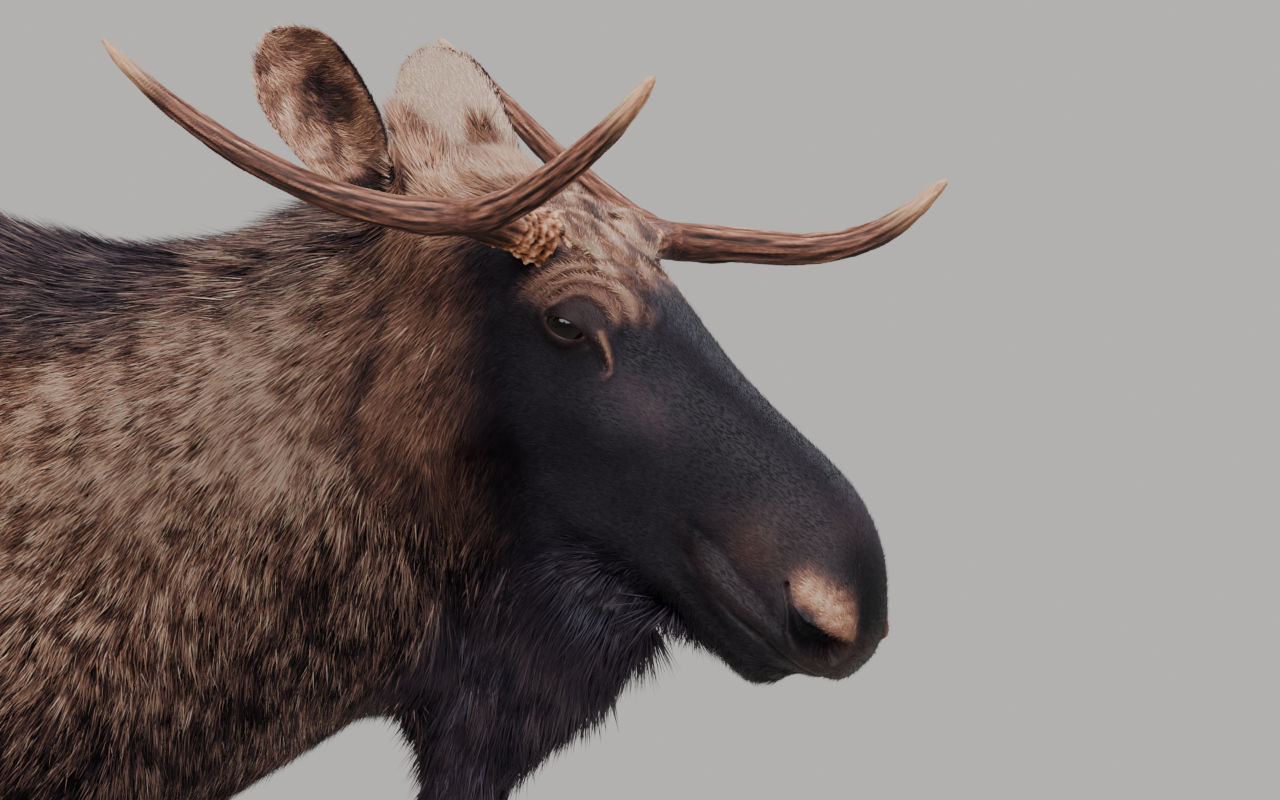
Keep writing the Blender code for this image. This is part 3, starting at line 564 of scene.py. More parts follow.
    def on_bell(self, p: Array) -> Hair:
        """Bell: long black locks that hang."""
        h = self.anatomy.level(p)[2]
        one = np.ones_like(h)
        lie = self.anatomy.up * -1.0 - self.anatomy.ahead * 0.32
        return Hair(
            0.36 + 0.05 * ripple(p, 0.05, 8), 0.85 * one, 0 * one, 0 * one, 0.70 * one,
            0.080 * one, 0.0026 * one, mix(0.008, 0.003, ease(-0.42, -0.58, h)), one[:, None] * lie,
        )

    def on_head(self, p: Array) -> Hair:
        """Head: black face, golden cheeks, grizzled forehead and a pale patch by the nostril."""
        a = self.anatomy
        f, v, h = a.level(p)
        u, _, w = a.face(p)
        side = np.abs(v)
        one = np.ones_like(f)
        edge = -0.083 + 0.07 * np.minimum(h, 0) + 0.008 * ripple(p, 0.04, 21)
        black = ease(edge - 0.055, edge + 0.025, f)
        cheek = 0.34 + 0.26 * ease(-0.18, -0.05, h) * ease(0.16, 0.02, h)
        cheek = cheek + 0.07 * ripple(p, 0.05, 24)
        face = 0.22 - 0.01 * spot(f + 0.02, h + 0.16, 0.07, 0.07) + 0.02 * ripple(p, 0.05, 27)
        shade = mix(cheek, face, black)
        cool = mix(0.15, 0.72, black)
        warm = mix(0.12, 0.0, black)
        streak = mix(1.8, 0.50, black)
        temple = spot(f + 0.055, h - 0.06, 0.055, 0.04) * ease(0.06, 0.09, side)
        shade = mix(shade, 0.25, 0.8 * temple)
        brow = self.brow(f, h) * ease(0.035, 0.06, side)
        lid = 0.08 * ease(0.036, 0.056, self.off_eye(f, h))
        shade = mix(shade, 0.58 + lid + 0.05 * ripple(p, 0.02, 28), brow)
        warm = mix(warm, 0.14, brow)
        top = ease(0.036, 0.066, w) * ease(0.062, -0.030, u + 0.12 * side)
        poll = ease(-0.12, -0.19, u) * ease(-0.07, -0.01, w)
        grizzled = np.clip(top + poll, 0, 1)
        fore = 0.72 + 0.22 * ease(-0.05, -0.10, f)
        shade = mix(shade, fore + 0.12 * ripple(p, 0.03, 22), grizzled)
        cool = mix(mix(cool, 0.25, brow), 0.12, grizzled)
        warm = mix(warm, 0.24, grizzled)
        streak = mix(streak, 1.5, grizzled)
        butt = ease(0.12, 0.15, h) * ease(-0.115, -0.135, f)
        dark_butt = spot(f + 0.168, h - 0.196, 0.030, 0.042)
        shade = mix(shade, 0.90 + 0.13 * ripple(p, 0.025, 23) - 0.46 * dark_butt, butt)
        pale_root = spot(f + 0.200, h - 0.142, 0.035, 0.016)
        pale_root = pale_root + 0.7 * spot(f + 0.188, h - 0.080, 0.009, 0.05)
        pale_root = np.clip(pale_root, 0, 1) * ease(0.05, 0.07, side)
        shade = mix(shade, 0.86, pale_root)
        warm = mix(warm, 0.30, pale_root)
        cool = cool * (1 - pale_root)
        # painted sheen: the bridge a little lighter and the face below the eye much lighter, as
        # light gleaming on the hair
        bridge = ease(0.03, 0.06, w) * ease(0.02, 0.09, u) * ease(0.42, 0.30, u)
        sheen = spot(u - 0.115, w + 0.002, 0.050, 0.026) * ease(0.03, 0.06, side)
        shade = shade + 0.05 * bridge * (1 - grizzled) + 0.22 * sheen * black
        shade = shade - 0.11 * ease(0.34, 0.40, u) * black
        muzzle = spot(u - 0.295, w + 0.020, 0.042, 0.042)
        muzzle = muzzle + 0.5 * spot(u - 0.35, w - 0.04, 0.05, 0.04)
        muzzle = np.clip(muzzle + 2.2 * ease(0.395, 0.43, u) * ease(0.0, -0.03, w), 0, 1)
        shade = shade + 0.18 * muzzle
        warm = warm + 0.10 * muzzle
        to_patch, along = along_path(u, w, self.NOSE_PATCH)
        patch = near(to_patch, 0.0215) * mix(1.0, 0.55, ease(0.35, 1.0, along))
        patch = patch * ease(0.022, 0.042, side)
        shade = mix(shade, 0.90 + 0.09 * ripple(p, 0.012, 25), patch)
        warm = mix(warm, 0.30, patch)
        cool = cool * (1 - patch) * (1 - 0.60 * muzzle)
        to_lip, _ = along_path(u, w, self.LIP)
        lip = near(to_lip, 0.0120) * ease(0.02, 0.04, side)
        warm = np.clip(warm + 0.10 * lip, 0, 1)
        cool = cool * (1 - 0.5 * lip)
        gape = self.gape(u)
        chin = ease(0.003, -0.003, w - gape) * ease(0.225, 0.25, u)
        shade = mix(shade, 0.21, chin)
        cool = mix(cool, 0.6, chin)
        warm = warm * (1 - chin)
        to_hole, place = along_path(u, w, self.NOSTRIL)
        hole = ease(0.020, 0.012, to_hole) * ease(0.03, 0.05, side) * ease(0.25, 0.6, place)
        round_eye = np.hypot(f - 0.012, h + 0.002)
        socket = ease(0.038, 0.026, round_eye) * ease(0.06, 0.085, side)
        # painted shade: the inside of the nostril is painted near black, as the hollow lies in
        # shade
        shade = mix(mix(shade, 0.17 + 0.26 * ease(0.0, 0.020, w), socket), 0.05, hole)
        warm = mix(warm, 0.15, socket)
        to_slit, _ = along_path(u, w, self.GLAND)
        to_ridge, down = along_path(u, w, self.GLAND_RIDGE)
        slit = ease(0.0046, 0.0020, to_slit) * ease(0.06, 0.08, side)
        ridge = ease(0.0042, 0.0006, to_ridge) * ease(0.06, 0.08, side) * (1 - slit)
        ridge = ridge * mix(1.0, 0.4, ease(0.35, 1.0, down))
        shade = mix(mix(shade, 0.80, ridge), 0.10, slit)
        warm = mix(mix(warm, 0.15, ridge), 0.4, slit)
        cool = cool * (1 - np.maximum(ridge, slit))
        furrow = self.wrinkles(p)
        # painted shade and light: the furrows of forehead and brow darker, their crests lighter
        shade = shade + furrow * (0.04 + 0.22 * grizzled + 0.07 * brow * (1 - grizzled))
        back = ease(-0.06, -0.14, f) * (1 - grizzled)
        lie_face = -a.muzzleward - 0.25 * a.browward
        lie_cheek = -0.55 * a.ahead - 0.85 * a.up
        lie_top = -a.ahead * 0.9 + a.up * 0.25
        lie_butt = -a.ahead * 0.5 + a.up * 0.85
        lie = mix(np.broadcast_to(lie_face, p.shape), lie_cheek, ease(-0.02, -0.10, f))
        lie = mix(mix(lie, lie_top, grizzled), lie_butt, butt)
        under = ease(-0.105, -0.12, w) * ease(0.2, 0.26, u)
        lie = mix(lie, -0.5 * a.ahead - a.up, under)
        lie = mix(lie, -a.up - 0.3 * a.ahead, ridge)
        length = mix(0.0115 * one, 0.034, back)
        behind = np.maximum(poll * 0.8, butt)
        length = mix(mix(length, 0.008, grizzled), 0.034 + 0.008 * butt, behind)
        beard = chin * ease(0.004, 0.016, gape - w)
        length = mix(length, 0.019, beard) + 0.006 * ease(0.10, 0.0, u) * ease(-0.02, -0.1, w)
        short = np.maximum(ease(0.34, 0.40, u) * (1 - beard), np.maximum(socket, 0.9 * ridge))
        length = mix(mix(length, 0.0060, short), 0.0035, ridge)
        width = mix(0.0014 * one, 0.0024, back)
        width = mix(mix(mix(width, 0.0015, grizzled), 0.0024, butt), 0.0008, ridge)
        depth = mix(0.0030 * one, 0.0100, back)
        depth = mix(mix(depth, 0.0028, grizzled), 0.012, behind)
        bare = np.maximum(0.5 * hole * ease(0.010, 0.016, to_hole), 0.7 * slit)
        bare = np.maximum(bare, 0.3 * ease(0.42, 0.45, u))
        shade, cool, warm = np.maximum(shade, 0), np.clip(cool, 0, 1), np.clip(warm, 0, 1)
        return Hair(shade, cool, warm, bare, streak, length, width, depth, lie)


# ---- finishes -----------------------------------------------------------------------------
def linear(shade: str) -> tuple[float, float, float, float]:
    """Turns an sRGB hex value such as "7a4a3a" into a linear colour."""
    channels = [int(shade[k : k + 2], 16) / 255 for k in (0, 2, 4)]
    made = [c / 12.92 if c <= 0.04045 else ((c + 0.055) / 1.055) ** 2.4 for c in channels]
    return (*made, 1.0)


def feed(node: Node, sockets: dict) -> None:
    """Gives a node's inputs, by name or number, a value or the output that feeds them."""
    for key, value in sockets.items():
        if isinstance(value, NodeSocket):
            node.id_data.links.new(value, node.inputs[key])
        else:
            node.inputs[key].default_value = value


def add(tree: NodeTree, kind: str, sockets: dict | None = None, **settings) -> Node:
    """Adds a node with its settings and links.

    Args:
        tree: the tree that gets it.
        kind: the node's type.
        sockets: what feed gives its inputs.
        settings: the node's own properties. A list of (place, hex) as ramp sets a ColorRamp.

    Returns:
        The node.
    """
    made = tree.nodes.new(kind)
    stops = settings.pop("ramp", None)
    for key, value in settings.items():
        setattr(made, key, value)
    if stops:
        elements = made.color_ramp.elements
        while len(elements) < len(stops):
            elements.new(0.5)
        for element, (place, shade) in zip(elements, stops):
            element.position = place
            element.color = linear(shade)
    feed(made, sockets or {})
    return made


def blank(name: str) -> tuple[Material, NodeTree]:
    """A new material and its tree."""
    made = bpy.data.materials.new(name)
    made.use_nodes = True
    return made, made.node_tree


def painted(made: Material, sockets: dict) -> Material:
    """The material, with its Principled shader fed."""
    feed(made.node_tree.nodes["Principled BSDF"], sockets)
    return made


COAT_RAMP = (
    (0.00, "060608"),
    (0.14, "17131a"),
    (0.30, "352a2f"),
    (0.46, "60443f"),
    (0.62, "93675b"),
    (0.78, "bd8b78"),
    (0.90, "d8ac96"),
    (1.00, "efd2c1"),
)
SLATE_RAMP = (
    (0.00, "05050a"),
    (0.20, "1b1a25"),
    (0.40, "3a3748"),
    (0.60, "68606e"),
    (0.80, "9d9092"),
    (1.00, "d2c6be"),
)
RUST_RAMP = (
    (0.00, "080505"),
    (0.30, "3c2017"),
    (0.55, "8a5438"),
    (0.75, "c08a60"),
    (1.00, "f0cfa8"),
)


def coat_colour(tree: NodeTree, level: NodeSocket, value: dict[str, NodeSocket]) -> NodeSocket:
    """Hair's colour for a shade, pulled towards slate and rust by the markings.

    Args:
        tree: the tree that gets the nodes.
        level: the shade with whatever varies it.
        value: the outputs that carry the markings cool and warm.

    Returns:
        The colour.
    """
    tone = add(tree, "ShaderNodeValToRGB", {0: level}, ramp=COAT_RAMP).outputs[0]
    for key, stops in (("cool", SLATE_RAMP), ("warm", RUST_RAMP)):
        other = add(tree, "ShaderNodeValToRGB", {0: level}, ramp=stops).outputs[0]
        mixed = add(tree, "ShaderNodeMix", {0: value[key], 6: tone, 7: other}, data_type="RGBA")
        tone = mixed.outputs[2]
    return tone


@dataclass(frozen=True)
class CoatFinish:
    """Deer hair: matt, paler towards the tip, a little silky, with painted shade at the root.

    The eye sees streaks, because each tuft has its own tone and painted shade darkens its root.
    """

    name: str
    roughness: float = 0.62
    spread: float = 0.17  # how much tufts differ in shade
    root: float = 0.24  # brightness left at the root by the painted shade
    gloss: float = 0.10  # hair is rough at every scale, so little of its surface light is left

    def material(self) -> Material:
        """Builds the nodes, which read the coat's markings from its attributes."""
        made, tree = blank(self.name)
        value = {
            key: add(tree, "ShaderNodeAttribute", attribute_name=key).outputs["Fac"]
            for key in ("shade", "cool", "warm", "along", "tone")
        }
        level = add(
            tree, "ShaderNodeMath", {0: value["tone"], 1: self.spread, 2: value["shade"]},
            operation="MULTIPLY_ADD",
        )
        along = value["along"]
        lift = add(tree, "ShaderNodeMapRange", {0: along, 1: 0.20, 2: 0.95, 3: -0.10, 4: 0.09})
        level = add(tree, "ShaderNodeMath", {0: level.outputs[0], 1: lift.outputs[0]})
        tone = coat_colour(tree, level.outputs[0], value)
        # painted shade: the colour is multiplied down towards each tuft's root, as the coat shades
        # its own depths
        light = add(tree, "ShaderNodeMapRange", {0: along, 1: 0.0, 2: 0.55, 3: self.root, 4: 1.0})
        root_shaded = add(
            tree, "ShaderNodeMix", {0: 1.0, 6: tone, 7: light.outputs[0]},
            data_type="RGBA", blend_type="MULTIPLY",
        )
        return painted(made, {
            "Base Color": root_shaded.outputs[2],
            "Roughness": self.roughness,
            "Specular IOR Level": self.gloss,
        })


@dataclass(frozen=True)
class HideFinish:
    """Hide under short hair: the coat's own markings, and a nap of fine combed streaks.

    Bare rims are moist mauve-brown skin. All of it is darkened by painted shade, as it lies under
    the hair. The nap is drawn at 1.2 mm across and 9 mm long, a little coarser than face hair, so
    that it shows.
    """

    name: str = "short_haired_hide"
    nap_across: float = 1.2 * MM
    nap_along: float = 9.0 * MM
    yaw: float = 0.0
    pitch: float = 0.0

    def material(self) -> Material:
        """Builds the nodes, which read the same markings as the coat's."""
        made, tree = blank(self.name)
        value = {
            key: add(tree, "ShaderNodeAttribute", attribute_name=key).outputs["Fac"]
            for key in ("shade", "cool", "warm", "bare")
        }
        place = add(tree, "ShaderNodeTexCoord").outputs["Object"]
        turn, across = (0.0, self.pitch, self.yaw), 1 / self.nap_across
        turned = add(tree, "ShaderNodeMapping", {"Vector": place, "Rotation": turn})
        combed = add(
            tree, "ShaderNodeMapping",
            {"Vector": turned.outputs[0], "Scale": (1 / self.nap_along, across, across)},
        )
        nap = add(
            tree, "ShaderNodeTexNoise",
            {"Vector": combed.outputs[0], "Scale": 1.0, "Detail": 3.0, "Distortion": 0.6},
        )
        spread = {1: 0.3, 2: 0.7, 3: -0.10, 4: 0.10}
        mottle = add(tree, "ShaderNodeMapRange", {0: nap.outputs[0], **spread})
        level = add(tree, "ShaderNodeMath", {0: value["shade"], 1: mottle.outputs[0]})
        tone = coat_colour(tree, level.outputs[0], value)
        skin = add(
            tree, "ShaderNodeMix", {0: value["bare"], 6: tone, 7: linear("4a3136")},
            data_type="RGBA",
        )
        # painted shade: the whole hide is darkened, as it lies in the shade under the hair
        deep = add(
            tree, "ShaderNodeMix", {0: 1.0, 6: skin.outputs[2], 7: linear("b4b4b4")},
            data_type="RGBA", blend_type="MULTIPLY",
        )
        rough = add(tree, "ShaderNodeMapRange", {0: value["bare"], 3: 0.58, 4: 0.34})
        relief = {"Strength": 0.5, "Distance": 0.6 * MM, "Height": nap.outputs[0]}
        return painted(made, {
            "Base Color": deep.outputs[2],
            "Roughness": rough.outputs[0],
            "Normal": add(tree, "ShaderNodeBump", relief).outputs[0],
            "Specular IOR Level": 0.16,
        })


@dataclass(frozen=True)
class AntlerFinish:
    """Weathered antler bone: red-brown from bark, grooved, and rubbed pale at the points.

    It gives a satin light along the crests, grooves darkened by bark, painted light on faces that
    look up and a crumbly burr.
    """

    name: str = "antler_bone"

    BONE = (
        (0.26, "0e0707"), (0.44, "301c19"), (0.62, "623c32"), (0.84, "9b6b59"), (1.0, "d6ab92"),
    )
    WORN = ((0.25, "6a3d2a"), (0.55, "bf9272"), (0.9, "f0d8ba"))
    CRUMBLY = ((0.32, "1f0c08"), (0.54, "6e3c29"), (0.74, "a96e52"), (1.0, "e0b89c"))

    def material(self) -> Material:
        """Builds the nodes: groove, tip and burr come as attributes, grain as a vector."""
        made, tree = blank(self.name)
        groove, tip, burr = (
            add(tree, "ShaderNodeAttribute", attribute_name=key).outputs["Fac"]
            for key in ("groove", "tip", "burr")
        )
        grain = add(tree, "ShaderNodeAttribute", attribute_name="grain").outputs["Vector"]
        fine = add(
            tree, "ShaderNodeTexNoise",
            {"Vector": grain, "Scale": 420.0, "Detail": 4.0, "Roughness": 0.6},
        )
        blotch = add(tree, "ShaderNodeTexNoise", {"Vector": grain, "Scale": 60.0, "Detail": 2.0})
        # the groove attribute holds the grooves' stain, the burr, and painted light that makes
        # faces looking up lighter
        level = groove
        for noise, share in ((fine, 0.72), (blotch, 0.35)):
            sums = {0: noise.outputs[0], 1: share, 2: level}
            level = add(tree, "ShaderNodeMath", sums, operation="MULTIPLY_ADD").outputs[0]
        tone = add(tree, "ShaderNodeValToRGB", {0: level}, ramp=self.BONE).outputs[0]
        for share, stops in ((tip, self.WORN), (burr, self.CRUMBLY)):
            other = add(tree, "ShaderNodeValToRGB", {0: level}, ramp=stops).outputs[0]
            mixed = add(tree, "ShaderNodeMix", {0: share, 6: tone, 7: other}, data_type="RGBA")
            tone = mixed.outputs[2]
        rough = add(tree, "ShaderNodeMapRange", {0: level, 1: 0.3, 2: 1.0, 3: 0.74, 4: 0.56})
        relief = {"Strength": 0.6, "Distance": 0.5 * MM, "Height": fine.outputs[0]}
        return painted(made, {
            "Base Color": tone,
            "Roughness": rough.outputs[0],
            "Normal": add(tree, "ShaderNodeBump", relief).outputs[0],
            "Specular IOR Level": 0.22,
        })


@dataclass(frozen=True)
class HornFinish:
    """Hoof horn: near-black keratin with growth rings, scuffed dull and paler at the edge."""

    name: str = "hoof_horn"
    ring: float = 5.0 * MM  # from one growth ring to the next

    def material(self) -> Material:
        """Builds the nodes on the object's own height."""
        made, tree = blank(self.name)
        place = add(tree, "ShaderNodeTexCoord").outputs["Object"]
        rings = add(
            tree, "ShaderNodeTexWave",
            {"Vector": place, "Scale": 1 / (self.ring * 6.3), "Distortion": 0.8, "Detail": 1.0},
            bands_direction="Z",
        )
        scuff = add(tree, "ShaderNodeTexNoise", {"Vector": place, "Scale": 160.0, "Detail": 5.0})
        level = add(
            tree, "ShaderNodeMath", {0: rings.outputs["Fac"], 1: 0.10, 2: scuff.outputs[0]},
            operation="MULTIPLY_ADD",
        )
        tone = add(
            tree, "ShaderNodeValToRGB", {0: level.outputs[0]},
            ramp=((0.30, "0d0a09"), (0.60, "211b18"), (0.95, "4a4038")),
        )
        spread = {1: 0.3, 2: 0.7, 3: 0.38, 4: 0.66}
        rough = add(tree, "ShaderNodeMapRange", {0: scuff.outputs[0], **spread})
        relief = {"Strength": 0.5, "Distance": 0.3 * MM, "Height": level.outputs[0]}
        return painted(made, {
            "Base Color": tone.outputs[0],
            "Roughness": rough.outputs[0],
            "Normal": add(tree, "ShaderNodeBump", relief).outputs[0],
        })


@dataclass(frozen=True)
class EyeFinish:
    """A moose's eye: brown-black iris round a long pupil, wet and mirror-smooth."""

    name: str = "wet_eye"

    # from the pupil's middle outwards
    IRIS = (
        (0.0, "010102"), (0.42, "020203"), (0.52, "0b0605"), (0.85, "120a07"), (0.97, "1d120f"),
    )

    def material(self) -> Material:
        """Builds the nodes: how far a place lies from the pupil's middle is an attribute."""
        made, tree = blank(self.name)
        gaze = add(tree, "ShaderNodeAttribute", attribute_name="gaze").outputs["Fac"]
        place = add(tree, "ShaderNodeTexCoord").outputs["Object"]
        fibre = add(tree, "ShaderNodeTexNoise", {"Vector": place, "Scale": 900.0, "Detail": 2.0})
        sums = {0: fibre.outputs[0], 1: 0.10, 2: gaze}
        level = add(tree, "ShaderNodeMath", sums, operation="MULTIPLY_ADD")
        tone = add(tree, "ShaderNodeValToRGB", {0: level.outputs[0]}, ramp=self.IRIS)
        return painted(made, {
            "Base Color": tone.outputs[0],
            "Roughness": 0.35,
            "Specular IOR Level": 0.0,
            "Coat Weight": 0.50,
            "Coat IOR": 1.42,
            "Coat Roughness": 0.015,
        })


@dataclass(frozen=True)
class WhiskerFinish:
    """Stiff hair of lashes and whiskers: smooth keratin with a narrow gleam."""

    name: str
    colour: str

    def material(self) -> Material:
        """Sets the shader, with a little difference from hair to hair."""
        made, tree = blank(self.name)
        place = add(tree, "ShaderNodeTexCoord").outputs["Object"]
        vary = add(tree, "ShaderNodeTexNoise", {"Vector": place, "Scale": 90.0})
        tone = add(
            tree, "ShaderNodeMix",
            {0: vary.outputs[0], 6: linear(self.colour), 7: linear("3a302c")}, data_type="RGBA",
        )
        return painted(made, {"Base Color": tone.outputs[2], "Roughness": 0.45})


@dataclass(frozen=True)
class FloorFinish:
    """Pale matt paint on a smooth floor, with a faint roller texture."""

    name: str = "pale_floor_paint"

    def material(self) -> Material:
        """Builds the nodes."""
        made, tree = blank(self.name)
        place = add(tree, "ShaderNodeTexCoord").outputs["Object"]
        cloud = add(tree, "ShaderNodeTexNoise", {"Vector": place, "Scale": 0.8, "Detail": 3.0})
        tone = add(
            tree, "ShaderNodeMix",
            {0: cloud.outputs[0], 6: linear("d9d5cd"), 7: linear("cfcbc3")}, data_type="RGBA",
        )
        return painted(made, {"Base Color": tone.outputs[2], "Roughness": 0.8})


# ---- eyes and lids ------------------------------------------------------------------------
@dataclass
class Eye:
    """One eyeball and the lids round it.

    The opening faces out and a little ahead, and its long axis dips to the front.
    """

    anatomy: Anatomy
    label: str
    toward_front: float = math.radians(20)
    dip: float = math.radians(27)
    half_length: float = 0.0222
    half_above: float = 0.0080
    half_below: float = 0.0112
    cornea: float = 0.0016
    steps: int = 72

    CORNEA = (0.45, 0.95)  # where the cornea starts and where it is full, as cosines off the gaze
    ASPECT = 1.15  # length over height of the ground that the lids take up
    # off the margin; height over the eyeball above and below; share of the hide's height
    LIDS = (
        (-1.8, -1.0, -1.2, 0.0),
        (-1.0, 0.6, 0.2, 0.0),
        (0.0, 2.0, 1.2, 0.0),
        (1.2, 3.2, 2.0, 0.0),
        (2.6, 3.4, 2.2, 0.0),
        (4.0, 2.6, 1.9, 0.02),
        (5.4, 1.8, 1.7, 0.06),
        (7.0, 1.9, 1.8, 0.16),
        (9.0, 2.2, 1.8, 0.34),
        (11.0, 2.2, 1.4, 0.55),
        (13.0, 1.6, 0.8, 0.75),
        (15.5, 1.2, 0.4, 0.86),
        (18.5, 0.6, 0.0, 0.94),
        (22.0, -0.8, -0.8, 1.0),
    )

    def __post_init__(self) -> None:
        """Works out the opening's axes."""
        a = self.anatomy
        side = SIDES[self.label]
        self.centre = centre_of(f"eye_{self.label}")
        cos, sin = math.cos(self.toward_front), math.sin(self.toward_front)
        self.out = a.left * side * cos + a.ahead * sin
        level = a.ahead * cos - a.left * side * sin
        self.fore = level * math.cos(self.dip) - a.up * math.sin(self.dip)
        self.over = level * math.sin(self.dip) + a.up * math.cos(self.dip)
        self.axes = np.array((self.fore, self.over, self.out))

    def local(self, p: Array) -> tuple[Array, Array, Array]:
        """Distances off the eyeball's centre: to the front corner, to the upper lid, outwards."""
        return tuple(((p - self.centre) @ self.axes.T).T)

    def ball(self) -> Shell:
        """The eyeball, with its cornea standing a little proud."""
        bm = bmesh.new()
        bmesh.ops.create_uvsphere(bm, u_segments=56, v_segments=40, radius=1.0)
        bmesh.ops.triangulate(bm, faces=bm.faces)
        shell = read_shell(to_mesh(bm, "eyeball"))
        x, y, z = shell.co.T
        bulge = self.cornea * ease(*self.CORNEA, z)
        shell.co = self.centre + (shell.co * (self.anatomy.eyeball + bulge)[:, None]) @ self.axes
        ahead = np.where(z > 0, np.hypot(x * 0.85, y * 1.35), 2.0)
        shell.values["gaze"] = np.clip(ahead / 0.75, 0, 1)
        return shell

    def sink(self, shell: Shell) -> None:
        """Pushes the hide under the eyeball, where the lids take its place."""
        x, y, z = self.local(shell.co)
        near_by = (np.hypot(x, y) < 0.045) & (z > -0.02)
        deep = ease(0.0245, 0.0180, np.hypot(x, y * self.ASPECT)) * near_by
        floor = -0.004  # the hide ends up this far behind the eyeball's middle, or farther
        shell.co += self.out * (deep * (np.minimum(z, floor) - z))[:, None]

    def lids(self, skin: Shell, pelage: Pelage) -> Shell:
        """Both lids as one ring of skin that runs out over the hide.

        Args:
            skin: the hide round the eye.
            pelage: the coat, for the markings.

        Returns:
            A shell with a fleshy rim against the eyeball and folds above and below.
        """
        x, y, z = self.local(skin.co)
        close = (np.hypot(x, y) < 0.075) & (z > -0.06)
        keep = close[skin.tris].all(axis=1)
        tree = BVHTree.FromPolygons(skin.co.tolist(), skin.tris[keep].tolist())
        ball = self.anatomy.eyeball
        start, depth = 0.08, 0.14  # rays look for the hide from here, and this deep
        co = []
        turns = 2 * math.pi * np.arange(self.steps) / self.steps
        for off, above, below, spread in self.LIDS:
            for turn in turns:
                across, up = math.cos(turn), math.sin(turn)
                tall = self.half_above if up > 0 else self.half_below
                px = self.half_length * math.copysign(abs(across) ** 0.95, across)
                py = tall * math.copysign(abs(up) ** 1.25, up)
                stretch = np.array((across, 0.95 * up))
                px, py = np.array((px, py)) + stretch * off * MM
                reach = math.hypot(px, py)
                lens = math.sqrt(max(1 - (reach / ball) ** 2, 0))
                radius = ball + self.cornea * float(ease(*self.CORNEA, lens))
                if reach < 0.8 * radius:
                    height = math.sqrt(radius**2 - reach**2)
                else:
                    height = 0.6 * radius - (reach - 0.8 * radius) * 1.15
                blend = 0.5 + 0.5 * math.tanh(3 * up)
                height += (below + (above - below) * blend) * MM
                share = min(spread * (1 + 0.9 * ease(-0.2, 0.8, across)), 1.0)
                share *= float(ease(0.0215, 0.0265, math.hypot(px, py * self.ASPECT)))
                here = self.centre + self.fore * px + self.over * py
                hit = tree.ray_cast(Vector(here + self.out * start), Vector(-self.out), depth)[3]
                ground = start - hit if hit is not None else height
                ground = ground + (off < 20) * 0.0006 - (off > 20) * 0.0010
                height = height * (1 - share) + ground * share
                co.append(here + self.out * height)
        tris = []
        for row in range(len(self.LIDS) - 1):
            for k in range(self.steps):
                a, b = row * self.steps + k, row * self.steps + (k + 1) % self.steps
                c, d = a + self.steps, b + self.steps
                tris += [(a, c, b), (b, c, d)]
        shell = Shell(np.array(co), np.array(tris), {})
        if np.mean(np.sum(shell.normals() * self.out, axis=1)) < 0:
            shell.tris = shell.tris[:, ::-1]
        shell.values = pelage.read(shell.co, shell.normals()).values()
        moist = [1.0, 1.0, 1.0, 1.0, 0.8, 0.5, 0.3, 0.1]
        rim = np.repeat(moist + [0.0] * (len(self.LIDS) - len(moist)), self.steps)
        # painted shade: the moist rim is dimmed along the upper lid, as it lies in the shade of the
        # brow
        rim = rim * mix(1.0, 0.45, ease(-0.3, 0.5, np.tile(np.sin(turns), len(self.LIDS))))
        shell.values["bare"] = np.maximum(shell.values["bare"], rim)
        shell.values["warm"] = np.maximum(shell.values["warm"], 0.3 * rim)
        off = np.repeat([ring[0] for ring in self.LIDS], self.steps)
        shell.values["furry"] = ease(3.4, 6.0, off) * ease(19.0, 18.0, off)
        return shell

    def covered(self, p: Array) -> Array:
        """How far a place on the hide lies under the lids, 0 to 1."""
        x, y, z = self.local(p)
        out = np.hypot(x / (self.half_length + 0.0165), y / (self.half_below + 0.0155))
        return ease(1.05, 0.95, out) * (z > -0.02)

    def lashes(self, finish: Material) -> Object:
        """Lashes of the upper lid, as curved spikes placed along its rim by Geometry Nodes."""
        at, ways = [], []
        for k in range(2, 25):
            turn = math.pi * k / 26
            px = self.half_length * math.cos(turn)
            py = self.half_above * math.sin(turn) ** 1.25
            height = math.sqrt(max(self.anatomy.eyeball**2 - px * px - py * py, 1e-6))
            root = np.array((px, py, height))
            root = root + root / np.linalg.norm(root) * 0.0022
            at.append(Vector(self.centre + root @ self.axes))
            ways.append(unit(np.array((0.45 * math.cos(turn), 0.15, 1.0))) @ self.axes)
        points = bpy.data.meshes.new("lash_roots")
        points.from_pydata(at, [], [])
        way = points.attributes.new("way", "FLOAT_VECTOR", "POINT")
        way.data.foreach_set("vector", np.array(ways).astype(np.float32).ravel())
        return Bristles(f"lashes_{self.label}", finish, 0.010, 0.0004, 17).grow(points)


